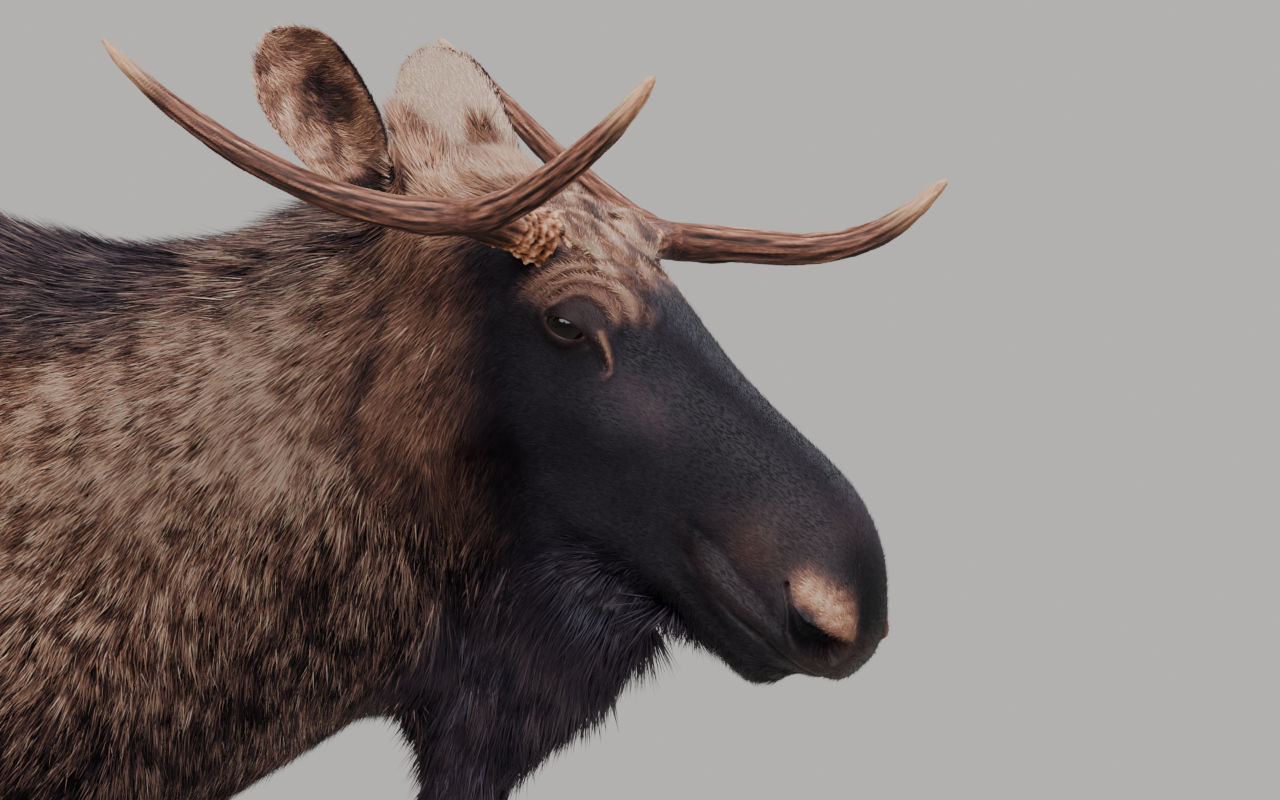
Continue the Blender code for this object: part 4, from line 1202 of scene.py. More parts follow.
@dataclass
class Bristles:
    """Stiff hairs that stand on points, made by Geometry Nodes and turned into plain mesh."""

    name: str
    finish: Material
    length: float
    thickness: float
    seed: int
    bend: float = 0.35  # how far a hair's end leans over, as a share of its length

    def tree(self) -> NodeTree:
        """Cone for each point, turned along the point's way and scaled at random."""
        made = bpy.data.node_groups.new(self.name, "GeometryNodeTree")
        face = made.interface
        face.new_socket("Geometry", in_out="INPUT", socket_type="NodeSocketGeometry")
        for key, value in (("Length", self.length), ("Thickness", self.thickness)):
            socket = face.new_socket(key, in_out="INPUT", socket_type="NodeSocketFloat")
            socket.default_value = value
        face.new_socket("Geometry", in_out="OUTPUT", socket_type="NodeSocketGeometry")
        given = add(made, "NodeGroupInput")
        cone = add(
            made, "GeometryNodeMeshCone",
            {"Vertices": 5, "Side Segments": 3, "Radius Top": 0.00004,
             "Radius Bottom": given.outputs["Thickness"], "Depth": given.outputs["Length"]},
        )
        place = add(made, "GeometryNodeInputPosition")
        apart = add(made, "ShaderNodeSeparateXYZ", {0: place.outputs[0]})
        droop = rise = apart.outputs["Z"]
        for operation, other in (
            ("MULTIPLY", rise), ("DIVIDE", given.outputs["Length"]), ("MULTIPLY", self.bend),
        ):
            sums = {0: droop, 1: other}
            droop = add(made, "ShaderNodeMath", sums, operation=operation).outputs[0]
        sideways = add(made, "ShaderNodeCombineXYZ", {"X": droop})
        move = {0: cone.outputs[0], "Offset": sideways.outputs[0]}
        bent = add(made, "GeometryNodeSetPosition", move)
        way = add(
            made, "GeometryNodeInputNamedAttribute", {"Name": "way"}, data_type="FLOAT_VECTOR"
        )
        turn = add(made, "FunctionNodeAlignRotationToVector", {"Vector": way.outputs[0]}, axis="Z")
        size = add(
            made, "FunctionNodeRandomValue", {2: 0.7, 3: 1.25, "Seed": self.seed}, data_type="FLOAT"
        )
        stand = add(
            made, "GeometryNodeInstanceOnPoints",
            {0: given.outputs["Geometry"], "Instance": bent.outputs[0],
             "Rotation": turn.outputs[0], "Scale": size.outputs[1]},
        )
        real = add(made, "GeometryNodeRealizeInstances", {0: stand.outputs[0]})
        coated = {0: real.outputs[0], "Material": self.finish}
        dressed = add(made, "GeometryNodeSetMaterial", coated)
        add(made, "NodeGroupOutput", {0: dressed.outputs[0]})
        return made

    def grow(self, points: Mesh) -> Object:
        """The hairs on these points, which carry their direction in the attribute way."""
        source = add_object(self.name + "_roots", points)
        group = self.tree()
        modifier = source.modifiers.new("Bristles", "NODES")
        modifier.node_group = group
        for item in group.interface.items_tree:
            if item.in_out == "INPUT" and item.name == "Length":
                modifier[item.identifier] = self.length
        mesh = settled(source)
        mesh.name = self.name
        mesh.shade_smooth()
        return add_object(self.name, mesh)


# ---- hide ---------------------------------------------------------------------------------
@dataclass
class Hide:
    """The one skin over all the flesh, from the nose to the tail and the coronets."""

    anatomy: Anatomy
    pelage: Pelage
    voxel: float = 0.006
    swell: float = 0.0008
    rounds: int = 150
    body_triangles: int = 20_000

    FLESH = (
        "head", "neck", "trunk", "tail", "bell",
        *(f"leg_{leg}_{length}" for leg in LEGS for length in ("upper", "lower")),
    )

    # ahead, out and up of the eyes, and radius
    EAR_BUTT = (
        (-0.190, 0.088, 0.092, 0.036),
        (-0.172, 0.080, 0.118, 0.036),
        (-0.190, 0.084, 0.155, 0.030),
        (-0.196, 0.082, 0.200, 0.028),
        (-0.172, 0.074, 0.168, 0.034),
    )

    def fillers(self) -> list[Mesh]:
        """What closes the seats of eyes, antlers and ears, and the nostrils, before shaping."""
        a = self.anatomy
        made = [node_mesh(f"eye_{label}", self.swell) for label in SIDES]
        nostril, pedicle = (0.046, 0.017, 0.022), (0.028, 0.030, 0.028)
        for side in SIDES.values():
            made.append(ball_mesh(a.on_face(0.385, side * 0.054, -0.031), nostril, a.face_axes))
            made.append(ball_mesh(a.on_level(-0.034, side * 0.060, 0.080), pedicle, a.level_axes))
            for f, v, h, r in self.EAR_BUTT:
                made.append(ball_mesh(a.on_level(f, side * v, h), (r, r, r), a.level_axes))
        return made

    def shape(self) -> Shell:
        """Fuses the flesh, smooths away the facets and spends the triangles on the face."""
        flesh = [node_mesh(name, self.swell) for name in self.FLESH]
        shell = fused(flesh + self.fillers(), self.voxel)
        LOG.info("fused flesh: %d triangles", len(shell.tris))
        zones = self.pelage.zones(shell.co)
        x, _, z = self.anatomy.body(shell.co)
        limb = ease(1.02, 0.88, z) * self.pelage.off_belly(x)
        free = mix(np.ones(len(x)), 0.30, ease(1.15, 0.95, z))
        free = mix(free, 0.06, limb)
        free = mix(free, 0.25, ease(1.60, 1.72, z))
        free = mix(free, 0.12, zones["head"])
        free = mix(free, 0.10, ease(-0.20, -0.26, self.anatomy.level(shell.co)[2]) * zones["bell"])
        free = mix(free, 0.04, ease(-1.19, -1.22, x) * ease(1.55, 1.50, z))
        shell.relax(free, self.rounds)
        keep = np.clip(zones["head"] + zones["bell"], 0, 1)
        kept = int((keep[shell.tris].mean(axis=1) > 0.5).sum())
        made = add_object("hide_dense", shell.mesh("hide_dense"))
        group = made.vertex_groups.new(name="free")
        grades = 8
        level = np.round((1 - keep) * grades).astype(int)
        for step in range(grades + 1):
            group.add(np.flatnonzero(level == step).tolist(), step / grades, "REPLACE")
        thin = made.modifiers.new("Thin", "DECIMATE")
        thin.ratio = (kept + self.body_triangles) / len(shell.tris)
        thin.vertex_group = group.name
        return self.refined(settled(made))

    def refined(self, mesh: Mesh) -> Shell:
        """Splits the edges of the face, and once more those round the nostrils and mouth."""
        bm = bmesh.new()
        bm.from_mesh(mesh)
        for fine in (False, True):
            co = np.array([v.co for v in bm.verts])
            u, v, w = self.anatomy.face(co)
            if fine:
                zone = (u > 0.335) & (w < 0.02) & (w > -0.12) & (np.abs(v) > 0.02)
            else:
                nape = self.pelage.zones(co)["nape"]
                zone = (nape > 0.08) & (w > -0.125) & (u > -0.11)
            bm.verts.ensure_lookup_table()
            edges = [e for e in bm.edges if zone[e.verts[0].index] and zone[e.verts[1].index]]
            bmesh.ops.subdivide_edges(bm, edges=edges, cuts=1, use_grid_fill=True)
            bmesh.ops.triangulate(bm, faces=bm.faces)
            bm.verts.index_update()
        shell = read_shell(to_mesh(bm, "hide_refined"))
        shell.relax(0.8 * self.pelage.zones(shell.co)["head"], 3)
        return shell

    def sculpt(self, shell: Shell) -> None:
        """Moves the face in and out: nostrils, mouth, folds, gland and hollows."""
        pelage, n = self.pelage, shell.normals()
        u, v, w = self.anatomy.face(shell.co)
        f, _, h = self.anatomy.level(shell.co)
        side = np.abs(v)
        head = pelage.zones(shell.co)["head"]
        move = mix(0.0034, 0.0046, ease(0.045, 0.06, w)) * pelage.wrinkles(shell.co)
        to_hole, place = along_path(u, w, pelage.NOSTRIL)
        wide = mix(0.0028, 0.0155, ease(0.20, 0.85, place))
        flank = ease(0.028, 0.040, side)
        hole = ease(1.25, 0.65, to_hole / wide) * flank
        move -= hole * mix(0.006, 0.026, ease(0.2, 0.9, place))
        move += 0.0030 * spot(to_hole / wide - 1.55, 0 * u, 0.45, 1.0) * flank
        to_patch, _ = along_path(u, w, pelage.NOSE_PATCH)
        move += 0.0035 * near(to_patch, 0.016) * flank * (1 - hole)
        to_mouth, _ = along_path(u, w, pelage.MOUTH)
        front = ease(0.225, 0.260, u)
        gape = pelage.gape(u)
        move -= 0.0100 * near(to_mouth, 0.0045) * front
        move -= 0.0040 * front * ease(0.0, -0.006, w - gape) * ease(-0.045, -0.020, w - gape)
        to_lip, _ = along_path(u, w, pelage.LIP)
        move += 0.0045 * near(to_lip, 0.0100) * front * ease(0.45, 0.40, u)
        crease, _ = along_path(u, w, pelage.CREASE)
        move -= 0.0035 * near(crease, 0.007) * ease(0.03, 0.05, side)
        move += 0.0055 * spot(u - 0.290, w + 0.016, 0.028, 0.022) * ease(0.03, 0.05, side)
        slit, _ = along_path(u, w, pelage.GLAND)
        ridge, _ = along_path(u, w, pelage.GLAND_RIDGE)
        beside = ease(0.06, 0.08, side)
        move += 0.0024 * near(ridge, 0.0032) * beside
        move -= 0.0055 * near(slit, 0.0028) * beside
        move -= 0.0070 * pelage.fold(shell.co)
        move -= 0.0050 * spot(f - 0.060, h + 0.010, 0.020, 0.030) * beside
        move -= 0.0040 * spot(f + 0.060, h - 0.030, 0.030, 0.025) * beside
        move += 0.0110 * spot(u - 0.468, w + 0.030, 0.026, 0.026)
        shell.co += n * (move * head)[:, None]

    def build(self, eyes: Sequence[Eye]) -> Shell:
        """The finished surface, inside the solids by the depth of the coat."""
        shell = self.shape()
        LOG.info("shaped hide: %d triangles", len(shell.tris))
        n = shell.normals()
        hair = self.pelage.read(shell.co, n)
        shell.co -= n * (hair.depth + self.swell)[:, None]
        self.sculpt(shell)
        for eye in eyes:
            eye.sink(shell)
        shell.values = self.pelage.read(shell.co, shell.normals()).values()
        shell.values["furry"] = 1 - np.maximum.reduce([eye.covered(shell.co) for eye in eyes])
        return shell


# ---- ears ---------------------------------------------------------------------------------
@dataclass
class Ear:
    """A cupped leaf of gristle whose arcs open out from a rolled root."""

    anatomy: Anatomy
    label: str
    width: float = 0.114
    wall: float = 0.0052
    rows: int = 46
    columns: int = 36

    # share of the length, share of the width, how far the rim wraps round, in degrees
    LEAF = (
        (0.00, 0.10, 150),
        (0.10, 0.28, 135),
        (0.25, 0.60, 96),
        (0.45, 0.88, 68),
        (0.65, 1.00, 54),
        (0.82, 0.95, 46),
        (0.94, 0.64, 38),
        (1.00, 0.12, 30),
    )
    LENGTH = {"right": 0.250, "left": 0.262}
    ROOT = {"right": (-0.192, 0.086, 0.102), "left": (-0.166, 0.086, 0.102)}
    POINTS = {"right": (-0.475, 0.20, 0.80), "left": (-0.60, 0.33, 0.82)}
    OPENS = {"right": (0.06, 0.95, -0.06), "left": (0.02, 0.97, -0.10)}
    BACK = {"right": 0.66, "left": 1.10}  # shade of the hair behind; the left ear's is painted lighter, as painted light on its back

    def __post_init__(self) -> None:
        """Works out the ear's axes."""
        side = SIDES[self.label]
        mirror = np.array((1, side, 1))
        axes = self.anatomy.level_axes
        self.base = self.anatomy.eyes + (np.array(self.ROOT[self.label]) * mirror) @ axes
        self.axis = unit((np.array(self.POINTS[self.label]) * mirror) @ axes)
        opens = (np.array(self.OPENS[self.label]) * mirror) @ axes
        self.opens = unit(opens - self.axis * (opens @ self.axis))
        self.across = np.cross(self.axis, self.opens)
        # forward edge of the cup: towards the face
        self.forward = 1.0 if self.across @ self.anatomy.ahead > 0 else -1.0
        self.table = self.smooth_table(np.array(self.LEAF))

    def leaf(self, t: Array, s: Array) -> Array:
        """Places on the middle sheet: t from root to tip, s from -1 to 1 round the arc."""
        along, width, wrap = self.table.T
        width, wrap = np.interp(t, along, width), np.radians(np.interp(t, along, wrap))
        chord = np.where(wrap < math.pi / 2, np.sin(wrap), 1.0)
        radius = self.width / 2 * width / chord
        angle = wrap * s
        rim = 0.004 * np.sin(2 * math.pi * t * 1.5 + 1.0) * np.abs(s) ** 3
        return (
            self.base
            + self.axis * (t * self.LENGTH[self.label])[:, None]
            + self.across * (radius * np.sin(angle) - self.forward * 0.012 * t * t)[:, None]
            + self.opens * (radius * (0.72 - np.cos(angle)) + rim)[:, None]
        )

    def build(self) -> Shell:
        """Both faces of the ear, closed round the rim, with their markings."""
        t = np.linspace(0, 1, self.rows) ** 0.92
        s = np.linspace(-1, 1, self.columns)
        tt, ss = (grid.ravel() for grid in np.meshgrid(t, s, indexing="ij"))
        middle = self.leaf(tt, ss)
        step = 1e-3
        along = self.leaf(np.clip(tt + step, 0, 1), ss) - self.leaf(np.clip(tt - step, 0, 1), ss)
        round_ = self.leaf(tt, ss + step) - self.leaf(tt, ss - step)
        n = unit(np.cross(along, round_))
        flip = np.sign(np.sum(n * unit(self.opens + 0 * n), axis=1, keepdims=True))
        n = n * np.where(flip == 0, 1, flip)
        half = self.wall / 2 * (1 - 0.55 * tt) * (1 - 0.75 * np.abs(ss) ** 6)
        half = half * (1 - 0.6 * ease(0.93, 1.0, tt))
        inner, outer = middle + n * half[:, None], middle - n * half[:, None]
        index = np.arange(len(tt)).reshape(self.rows, self.columns)
        count = len(tt)
        a, b, c, d = index[:-1, :-1], index[:-1, 1:], index[1:, :-1], index[1:, 1:]
        sheet = np.vstack([np.stack(tri, -1).reshape(-1, 3) for tri in ((a, b, d), (a, d, c))])
        edge = [index[:, 0], index[-1, 1:], index[::-1, -1][1:], index[0, ::-1][1:-1]]
        edge = np.concatenate(edge)
        rim = []
        for i, j in zip(edge, np.roll(edge, -1)):
            rim += [(i, j, j + count), (i, j + count, i + count)]
        tris = np.concatenate([sheet, sheet[:, ::-1] + count, np.array(rim)])
        shell = Shell(np.vstack([inner, outer]), tris, {})
        if np.mean(np.sum(shell.normals()[:count] * n, axis=1)) < 0:
            shell.tris = shell.tris[:, ::-1]
        self.t, self.s, self.inner = np.tile(tt, 2), np.tile(ss, 2), np.repeat([1.0, 0.0], count)
        shell.values = self.hair(self.t, self.s, self.inner, shell.co).values()
        self.shell = shell
        return shell

    @staticmethod
    def smooth_table(table: Array) -> Array:
        """More rows through the same ones, with rounded corners."""
        t = np.linspace(0, 1, 41)
        columns = [np.interp(t, table[:, 0], table[:, k]) for k in (1, 2)]
        for column in columns:
            soften(column, 6)
        return np.stack([t, *columns], axis=1)

    def hair(self, t: Array, s: Array, inner: Array, p: Array) -> Hair:
        """Hair of the ear: dark in the cup with pale tufts off its front edge, fawn behind."""
        one = np.ones_like(t)
        front = s * self.forward
        patch = ripple(p, 0.035, 31)
        cup = 0.74 + 0.18 * patch
        cup = mix(cup, 0.24, spot(front - 0.15, t - 0.64, 0.45, 0.14))
        cup = mix(cup, 0.18, ease(0.34, 0.20, t))
        cup = mix(cup, 0.78, ease(0.60, 0.85, front) * ease(0.80, 0.55, t))
        behind = self.BACK[self.label] + 0.10 * patch - 0.20 * ease(0.35, 0.05, t)
        rim = np.clip(ease(0.90, 0.98, np.abs(s)) + ease(0.955, 0.99, t), 0, 1)
        edge = mix(0.82, 0.20, ease(0.5, 0.9, front) * ease(0.9, 0.7, t))
        shade = mix(mix(behind, cup, inner), edge, rim)
        warm = 0.18 * one
        cool = mix(0.25, 0.10, inner) * one
        sideways = -self.across * self.forward
        tipwards = np.broadcast_to(self.axis, p.shape)
        inside = mix(sideways + 0 * p, tipwards, ease(0.45, -0.3, front) * 0.6 + 0.2)
        lie = mix(tipwards, inside, inner)
        base = ease(0.45, 0.10, t)
        in_cup = mix(0.017, 0.026, ease(0.3, 0.8, front))
        length = mix(mix(0.012 + 0.016 * base, in_cup, inner), 0.007, rim)
        depth = mix(mix(0.003, 0.006, inner) * one, 0.0016, rim)
        return Hair(shade, cool, warm, 0 * one, 1.1 * one, length, 0.0016 * one, depth, lie)


# ---- coat ---------------------------------------------------------------------------------
class Cut(Enum):
    """How a tuft is drawn: (share of its length, share of its width) of each of its rings."""

    SPIKE = ((0.0, 1.0),)
    TUFT = ((0.0, 0.75), (0.45, 1.0))


@dataclass
class Field:
    """Ground that hair grows on: a surface, its normals, and the hair at any place on it."""

    shell: Shell
    normals: Array
    area: Array

    CELL = 4 * MM  # grid that neighbours are sorted on
    BITS = 10  # enough for the whole animal in such cells

    @classmethod
    def over(cls, shell: Shell) -> "Field":
        """Measures a surface."""
        a, b, c = (shell.co[shell.tris[:, k]] for k in range(3))
        area = np.linalg.norm(np.cross(b - a, c - a), axis=1) / 2
        return cls(shell, shell.normals(), area)

    def order(self) -> Array:
        """Triangles in an order that keeps neighbours together, by interleaved coordinates."""
        middle = self.shell.co[self.shell.tris].mean(axis=1)
        cell = ((middle - middle.min(axis=0)) / self.CELL).astype(np.int64)
        code = np.zeros(len(middle), np.int64)
        for bit in range(self.BITS):
            for axis in range(3):
                code |= ((cell[:, axis] >> bit) & 1) << (3 * bit + axis)
        return np.argsort(code, kind="stable")

    def scatter(self, weight: Array, count: int, rng: np.random.Generator) -> tuple[Array, Array]:
        """Spreads places evenly by weight.

        Args:
            weight: roots wanted for each unit of area, at the vertices.
            count: how many places.
            rng: where chance comes from.

        Returns:
            The triangle of each place, and its shares of the triangle's corners.
        """
        order = self.order()
        share = (weight[self.shell.tris].mean(axis=1) * self.area)[order]
        total = np.cumsum(share)
        picks = (np.arange(count) + rng.random(count)) / count * total[-1]
        tri = order[np.searchsorted(total, picks)]
        r, q = np.sqrt(rng.random(count)), rng.random(count)
        return tri, np.stack([1 - r, r * (1 - q), r * q], axis=1)

    def at(self, values: Array, tri: Array, shares: Array) -> Array:
        """Reads vertex values at scattered places."""
        corners = values[self.shell.tris[tri]]
        if values.ndim == 2:
            return np.einsum("nkc,nk->nc", corners, shares)
        return np.einsum("nk,nk->n", corners, shares)


@dataclass
class CoatPiece:
    """One patch of the coat."""

    name: str
    slot: str
    count: int
    cut: Cut
    seed: int
    sway: float = 0.18  # how far the lie wanders, in radians
    stray: float = 0.12  # how far single tufts stray from it
    clump: float = 0.013  # size of the groups that tips lean into
    gather: float = 0.30  # how far they lean
    bend: float = 0.10
    flat: float = 0.35  # thickness over width
    proud: float = 1.0  # how much more than usual tips stand off the skin
    patchy: float = 0.75  # how far the groups differ in shade

    # least and most of a tuft's length, lift and width, as shares of what the pelage asks for
    LENGTHS = (0.72, 1.22)
    LIFTS = (0.35, 1.15)
    WIDTHS = (0.75, 1.25)

    def worley(self, p: Array, cell: float) -> tuple[Array, Array]:
        """The nearest clump's middle to each place, and a random number for each clump."""
        best = np.full(len(p), 1e9)
        middle = np.zeros_like(p)
        luck = np.zeros(len(p))
        base = np.floor(p / cell)
        for step in itertools.product((-1, 0, 1), repeat=3):
            here = base + step
            # the usual sine hash: large, unrelated numbers whose fractions look random
            dots = here @ np.array((12.9898, 78.233, 37.719))
            waves = [np.abs(np.sin(dots + k * 3.7)) * 43758.5453 for k in range(4)]
            jitter = np.modf(np.stack(waves, 1))[0]
            at = (here + jitter[:, :3]) * cell
            gap = np.linalg.norm(at - p, axis=1)
            nearer = gap < best
            best = np.where(nearer, gap, best)
            middle[nearer] = at[nearer]
            luck[nearer] = jitter[nearer, 3]
        return middle, luck

    @staticmethod
    def above(tree: BVHTree, tips: Array, least: Array) -> Array:
        """Tips lifted off the skin where a hollow would swallow them.

        Args:
            tree: the skin.
            tips: the ends of the tufts.
            least: how high each has to stand.

        Returns:
            The new ends.
        """
        ground, way = np.empty_like(tips), np.empty_like(tips)
        for k, tip in enumerate(tips.tolist()):
            place, normal, _, _ = tree.find_nearest(tip)
            ground[k], way[k] = place, normal
        height = np.sum((tips - ground) * way, axis=1)
        return tips + way * np.maximum(least - height, 0)[:, None]

    def grow(
        self,
        p: Array,
        n: Array,
        hair: Hair,
        chart: Array,
        finish: Material,
        skin: BVHTree | None = None,
    ) -> Object:
        """Builds the tufts.

        Args:
            p: roots on the skin.
            n: outward normals there.
            hair: what grows there.
            chart: the roots' places on the unwrap, 0 to 1.
            finish: the coat's material.
            skin: what the tips have to stay above, if given.

        Returns:
            The finished piece.
        """
        rng = np.random.default_rng(self.seed)
        count = len(p)
        turn = self.sway * ripple(p, 0.07, self.seed + 5) + self.stray * rng.normal(size=count)
        side = np.cross(n, hair.lie)
        way = unit(hair.lie * np.cos(turn)[:, None] + side * np.sin(turn)[:, None])
        side = np.cross(n, way)
        length = hair.length * rng.uniform(*self.LENGTHS, count)
        lift = self.proud * hair.depth * rng.uniform(*self.LIFTS, count)
        middle, luck = self.worley(p, self.clump)
        tip = p + way * length[:, None] + n * lift[:, None]
        lean = (middle + way * hair.length[:, None]) - tip
        lean -= n * np.sum(lean * n, axis=1, keepdims=True)
        tip = tip + self.gather * lean
        if skin is not None:
            tip = self.above(skin, tip, 0.6 * lift)
        swing = side * (self.bend * length * rng.normal(size=count))[:, None]
        sink = np.minimum(0.0015 + 0.15 * hair.depth, 0.003)
        width = hair.width * rng.uniform(*self.WIDTHS, count)
        rings = self.cut.value
        stations = len(rings)
        each = stations * 3 + 1
        co, along, patch = (np.empty((count, each, *tail)) for tail in ((3,), (), (2,)))
        for k, (share, broad) in enumerate(rings):
            rise = share**0.75
            arch = (rise - share) * lift - (1 - share) * sink
            spine = p + (tip - p) * share + n * arch[:, None] + swing * (share * share)
            half = (width * broad / 2)[:, None]
            co[:, 3 * k] = spine + side * half
            co[:, 3 * k + 1] = spine + n * half * 2 * self.flat
            co[:, 3 * k + 2] = spine - side * half
            along[:, 3 * k : 3 * k + 3] = share
            for corner in range(3):
                patch[:, 3 * k + corner] = (0.5 * (corner - 1), share - 0.5)
        co[:, -1] = tip + swing
        along[:, -1] = 1.0
        patch[:, -1] = (0.0, 0.5)
        faces = [(0, 1, 2)]
        for k in range(stations - 1):
            for corner in range(3):
                a, b = 3 * k + corner, 3 * k + (corner + 1) % 3
                faces += [(a, a + 3, b + 3), (a, b + 3, b)]
        last = 3 * (stations - 1)
        faces += [(last + c, last + 3, last + (c + 1) % 3) for c in range(3)]
        tris = (np.array(faces)[None] + (np.arange(count) * each)[:, None, None]).reshape(-1, 3)
        tone = hair.streak * (self.patchy * (luck * 2 - 1) + 0.40 * rng.normal(size=count))
        spread = {"shade": hair.shade, "cool": hair.cool, "warm": hair.warm, "tone": tone}
        values = {key: np.repeat(value, each) for key, value in spread.items()}
        values["along"] = along.ravel()
        mesh = Shell(co.reshape(-1, 3), tris, values).mesh(self.name)
        layer = mesh.uv_layers.new(name="OFBake")
        uv = (0.005 + 0.99 * chart)[:, None] + patch * 0.003
        layer.data.foreach_set("uv", uv.reshape(-1, 2)[tris.ravel()].astype(np.float32).ravel())
        return dress(add_object(self.name, mesh), finish, self.slot)


class Coat:
    """All the hair, patch by patch."""

    def __init__(self, anatomy: Anatomy, pelage: Pelage, hide: Shell, ears: Sequence[Ear]) -> None:
        """Measures the ground once."""
        self.anatomy, self.pelage, self.ears = anatomy, pelage, ears
        self.field = Field.over(hide)
        self.skin = BVHTree.FromPolygons(hide.co.tolist(), hide.tris.tolist())
        self.finishes = {
            "coat_brown": CoatFinish("winter_coat").material(),
            "coat_face": CoatFinish("face_hair", roughness=0.50, root=0.70, gloss=0.12).material(),
            "coat_leg": CoatFinish("leg_hair", root=0.4).material(),
            "coat_ear": CoatFinish("ear_hair", root=0.60).material(),
        }
        p = hide.co
        self.zones = pelage.zones(p)
        self.x, self.y, self.z = anatomy.body(p)
        self.f, self.v, self.h = anatomy.level(p)
        self.u, _, self.w = anatomy.face(p)

    def chart(self, p: Array, kind: str) -> Array:
        """Unrolls the skin round the part's own axis, to 0 to 1 both ways.

        Args:
            p: places on the skin.
            kind: head, leg, bell, or body for the rest.

        Returns:
            Two coordinates for each place.
        """
        x, y, z = self.anatomy.body(p)
        if kind == "head":
            u, v, w = self.anatomy.face(p)
            along, turn = u, np.arctan2(v, w + 0.06) / (2 * math.pi)
        elif kind == "bell":
            f, v, h = self.anatomy.level(p)
            along, turn = h, np.arctan2(v, f + 0.12 - 0.3 * (h + 0.4)) / (2 * math.pi)
        elif kind == "leg":
            along = z
            front = x > -0.4
            middle = np.where(front, 0.07, -1.03)
            turn = np.arctan2(np.abs(y) - 0.155, x - middle) / (2 * math.pi)
            turn = turn * 0.9 + 2 * front + (y > 0)
        else:
            along, turn = x, np.arctan2(y, z - 1.35 - 0.15 * ease(0.1, 0.5, x)) / (2 * math.pi)
        made = np.stack([along, turn], axis=1)
        low, high = made.min(axis=0), made.max(axis=0)
        return (made - low) / np.maximum(high - low, 1e-6)

    def patch(self, piece: CoatPiece, weight: Array, kind: str) -> Object:
        """Grows one piece on the hide where weight says."""
        rng = np.random.default_rng(piece.seed)
        tri, shares = self.field.scatter(weight, piece.count, rng)
        p = self.field.at(self.field.shell.co, tri, shares)
        n = unit(self.field.at(self.field.normals, tri, shares))
        hair = self.pelage.read(p, n)
        return piece.grow(p, n, hair, self.chart(p, kind), self.finishes[piece.slot], self.skin)

    def on_ears(self, piece: CoatPiece) -> Object:
        """Grows the hair of both ears."""
        grown = []
        for k, ear in enumerate(self.ears):
            rng = np.random.default_rng(piece.seed + k)
            field = Field.over(ear.shell)
            weight = 1.0 + 1.2 * ease(0.85, 0.98, np.abs(ear.s)) + 0 * ear.t
            tri, shares = field.scatter(weight, piece.count // 2, rng)
            p, t, s, inner = (
                field.at(v, tri, shares) for v in (ear.shell.co, ear.t, ear.s, ear.inner)
            )
            n = unit(field.at(field.normals, tri, shares))
            hair = ear.hair(t, s, np.round(inner), p)
            hair.lie = flattened(hair.lie, n)
            chart = np.stack([(k + 0.25 * (s + 1) + 0.5 * np.round(inner)) / 2, t], axis=1)
            grown.append((p, n, hair, chart))
        p, n, chart = (np.concatenate([g[i] for g in grown]) for i in (0, 1, 3))
        hairs = [g[2] for g in grown]
        hair = Hair(**{
            key: np.concatenate([getattr(one, key) for one in hairs]) for key in vars(hairs[0])
        })
        return piece.grow(p, n, hair, chart, self.finishes[piece.slot])

    def build(self) -> None:
        """Grows every piece in turn."""
        z = self.zones
        bell, thin_bell = z["bell"] > 0.35, z["bell"] < 0.9
        is_head = (z["head"] > 0.5) & thin_bell
        leg = (z["leg"] > 0.5) & thin_bell & ~is_head
        body = thin_bell & ~is_head & ~leg
        back, belly = self.pelage.heights(self.x)
        crest = body & (back - self.z < 0.075) & (self.x > -0.45)
        neck = body & ~crest & (self.x > 0.10) & (self.z > 1.0)
        upper = (self.z - belly) / (back - belly) > 0.5
        trunk = body & ~crest & ~neck
        right, left = self.v < 0, self.v >= 0
        right_body, left_body = self.y < 0, self.y >= 0
        fine = 1.0 + 1.4 * ease(0.02, -0.06, self.f) * is_head
        to_hole, _ = along_path(self.u, self.w, self.pelage.NOSTRIL)
        to_mouth, _ = along_path(self.u, self.w, self.pelage.MOUTH)
        face = fine * self.field.shell.values["furry"] * ease(0.008, 0.014, to_hole)
        face = face * ease(0.002, 0.005, to_mouth)
        brown = {"slot": "coat_brown", "cut": Cut.SPIKE, "clump": 0.0095, "gather": 0.40}
        short = {
            "slot": "coat_face", "cut": Cut.SPIKE, "sway": 0.12, "stray": 0.12, "clump": 0.009,
            "gather": 0.1, "patchy": 0.3,
        }
        for name, count, seed, where in (
            ("coat_neck_right", 48000, 101, neck & upper & right_body),
            ("coat_throat_right", 42000, 111, neck & ~upper & right_body),
            ("coat_neck_left", 34000, 102, neck & left_body),
            ("coat_trunk_right", 27000, 104, trunk & right_body),
            ("coat_trunk_left", 27000, 105, trunk & left_body),
        ):
            self.patch(CoatPiece(name, count=count, seed=seed, **brown), where * 1.0, "body")
        mane = CoatPiece("coat_mane", "coat_brown", 28000, Cut.SPIKE, 103, clump=0.012, proud=1.9)
        self.patch(mane, crest * 1.0, "body")
        for name, count, seed, where in (
            ("coat_head_right", 48000, 106, right),
            ("coat_head_left", 38000, 107, left),
        ):
            piece = CoatPiece(name, count=count, seed=seed, **short)
            self.patch(piece, is_head * where * face, "head")
        legs = CoatPiece("coat_legs", "coat_leg", 25000, Cut.SPIKE, 108, clump=0.010, gather=0.2)
        self.patch(legs, leg * 1.0, "leg")
        bell_hair = CoatPiece(
            "coat_bell", "coat_face", 15000, Cut.TUFT, 109, sway=0.15, stray=0.10, clump=0.018,
            gather=0.45, bend=0.06, flat=0.4,
        )
        self.patch(bell_hair, bell * 1.0, "bell")
        ear_hair = CoatPiece(
            "coat_ears", "coat_ear", 20000, Cut.SPIKE, 110, clump=0.009, gather=0.35
        )
        self.on_ears(ear_hair)


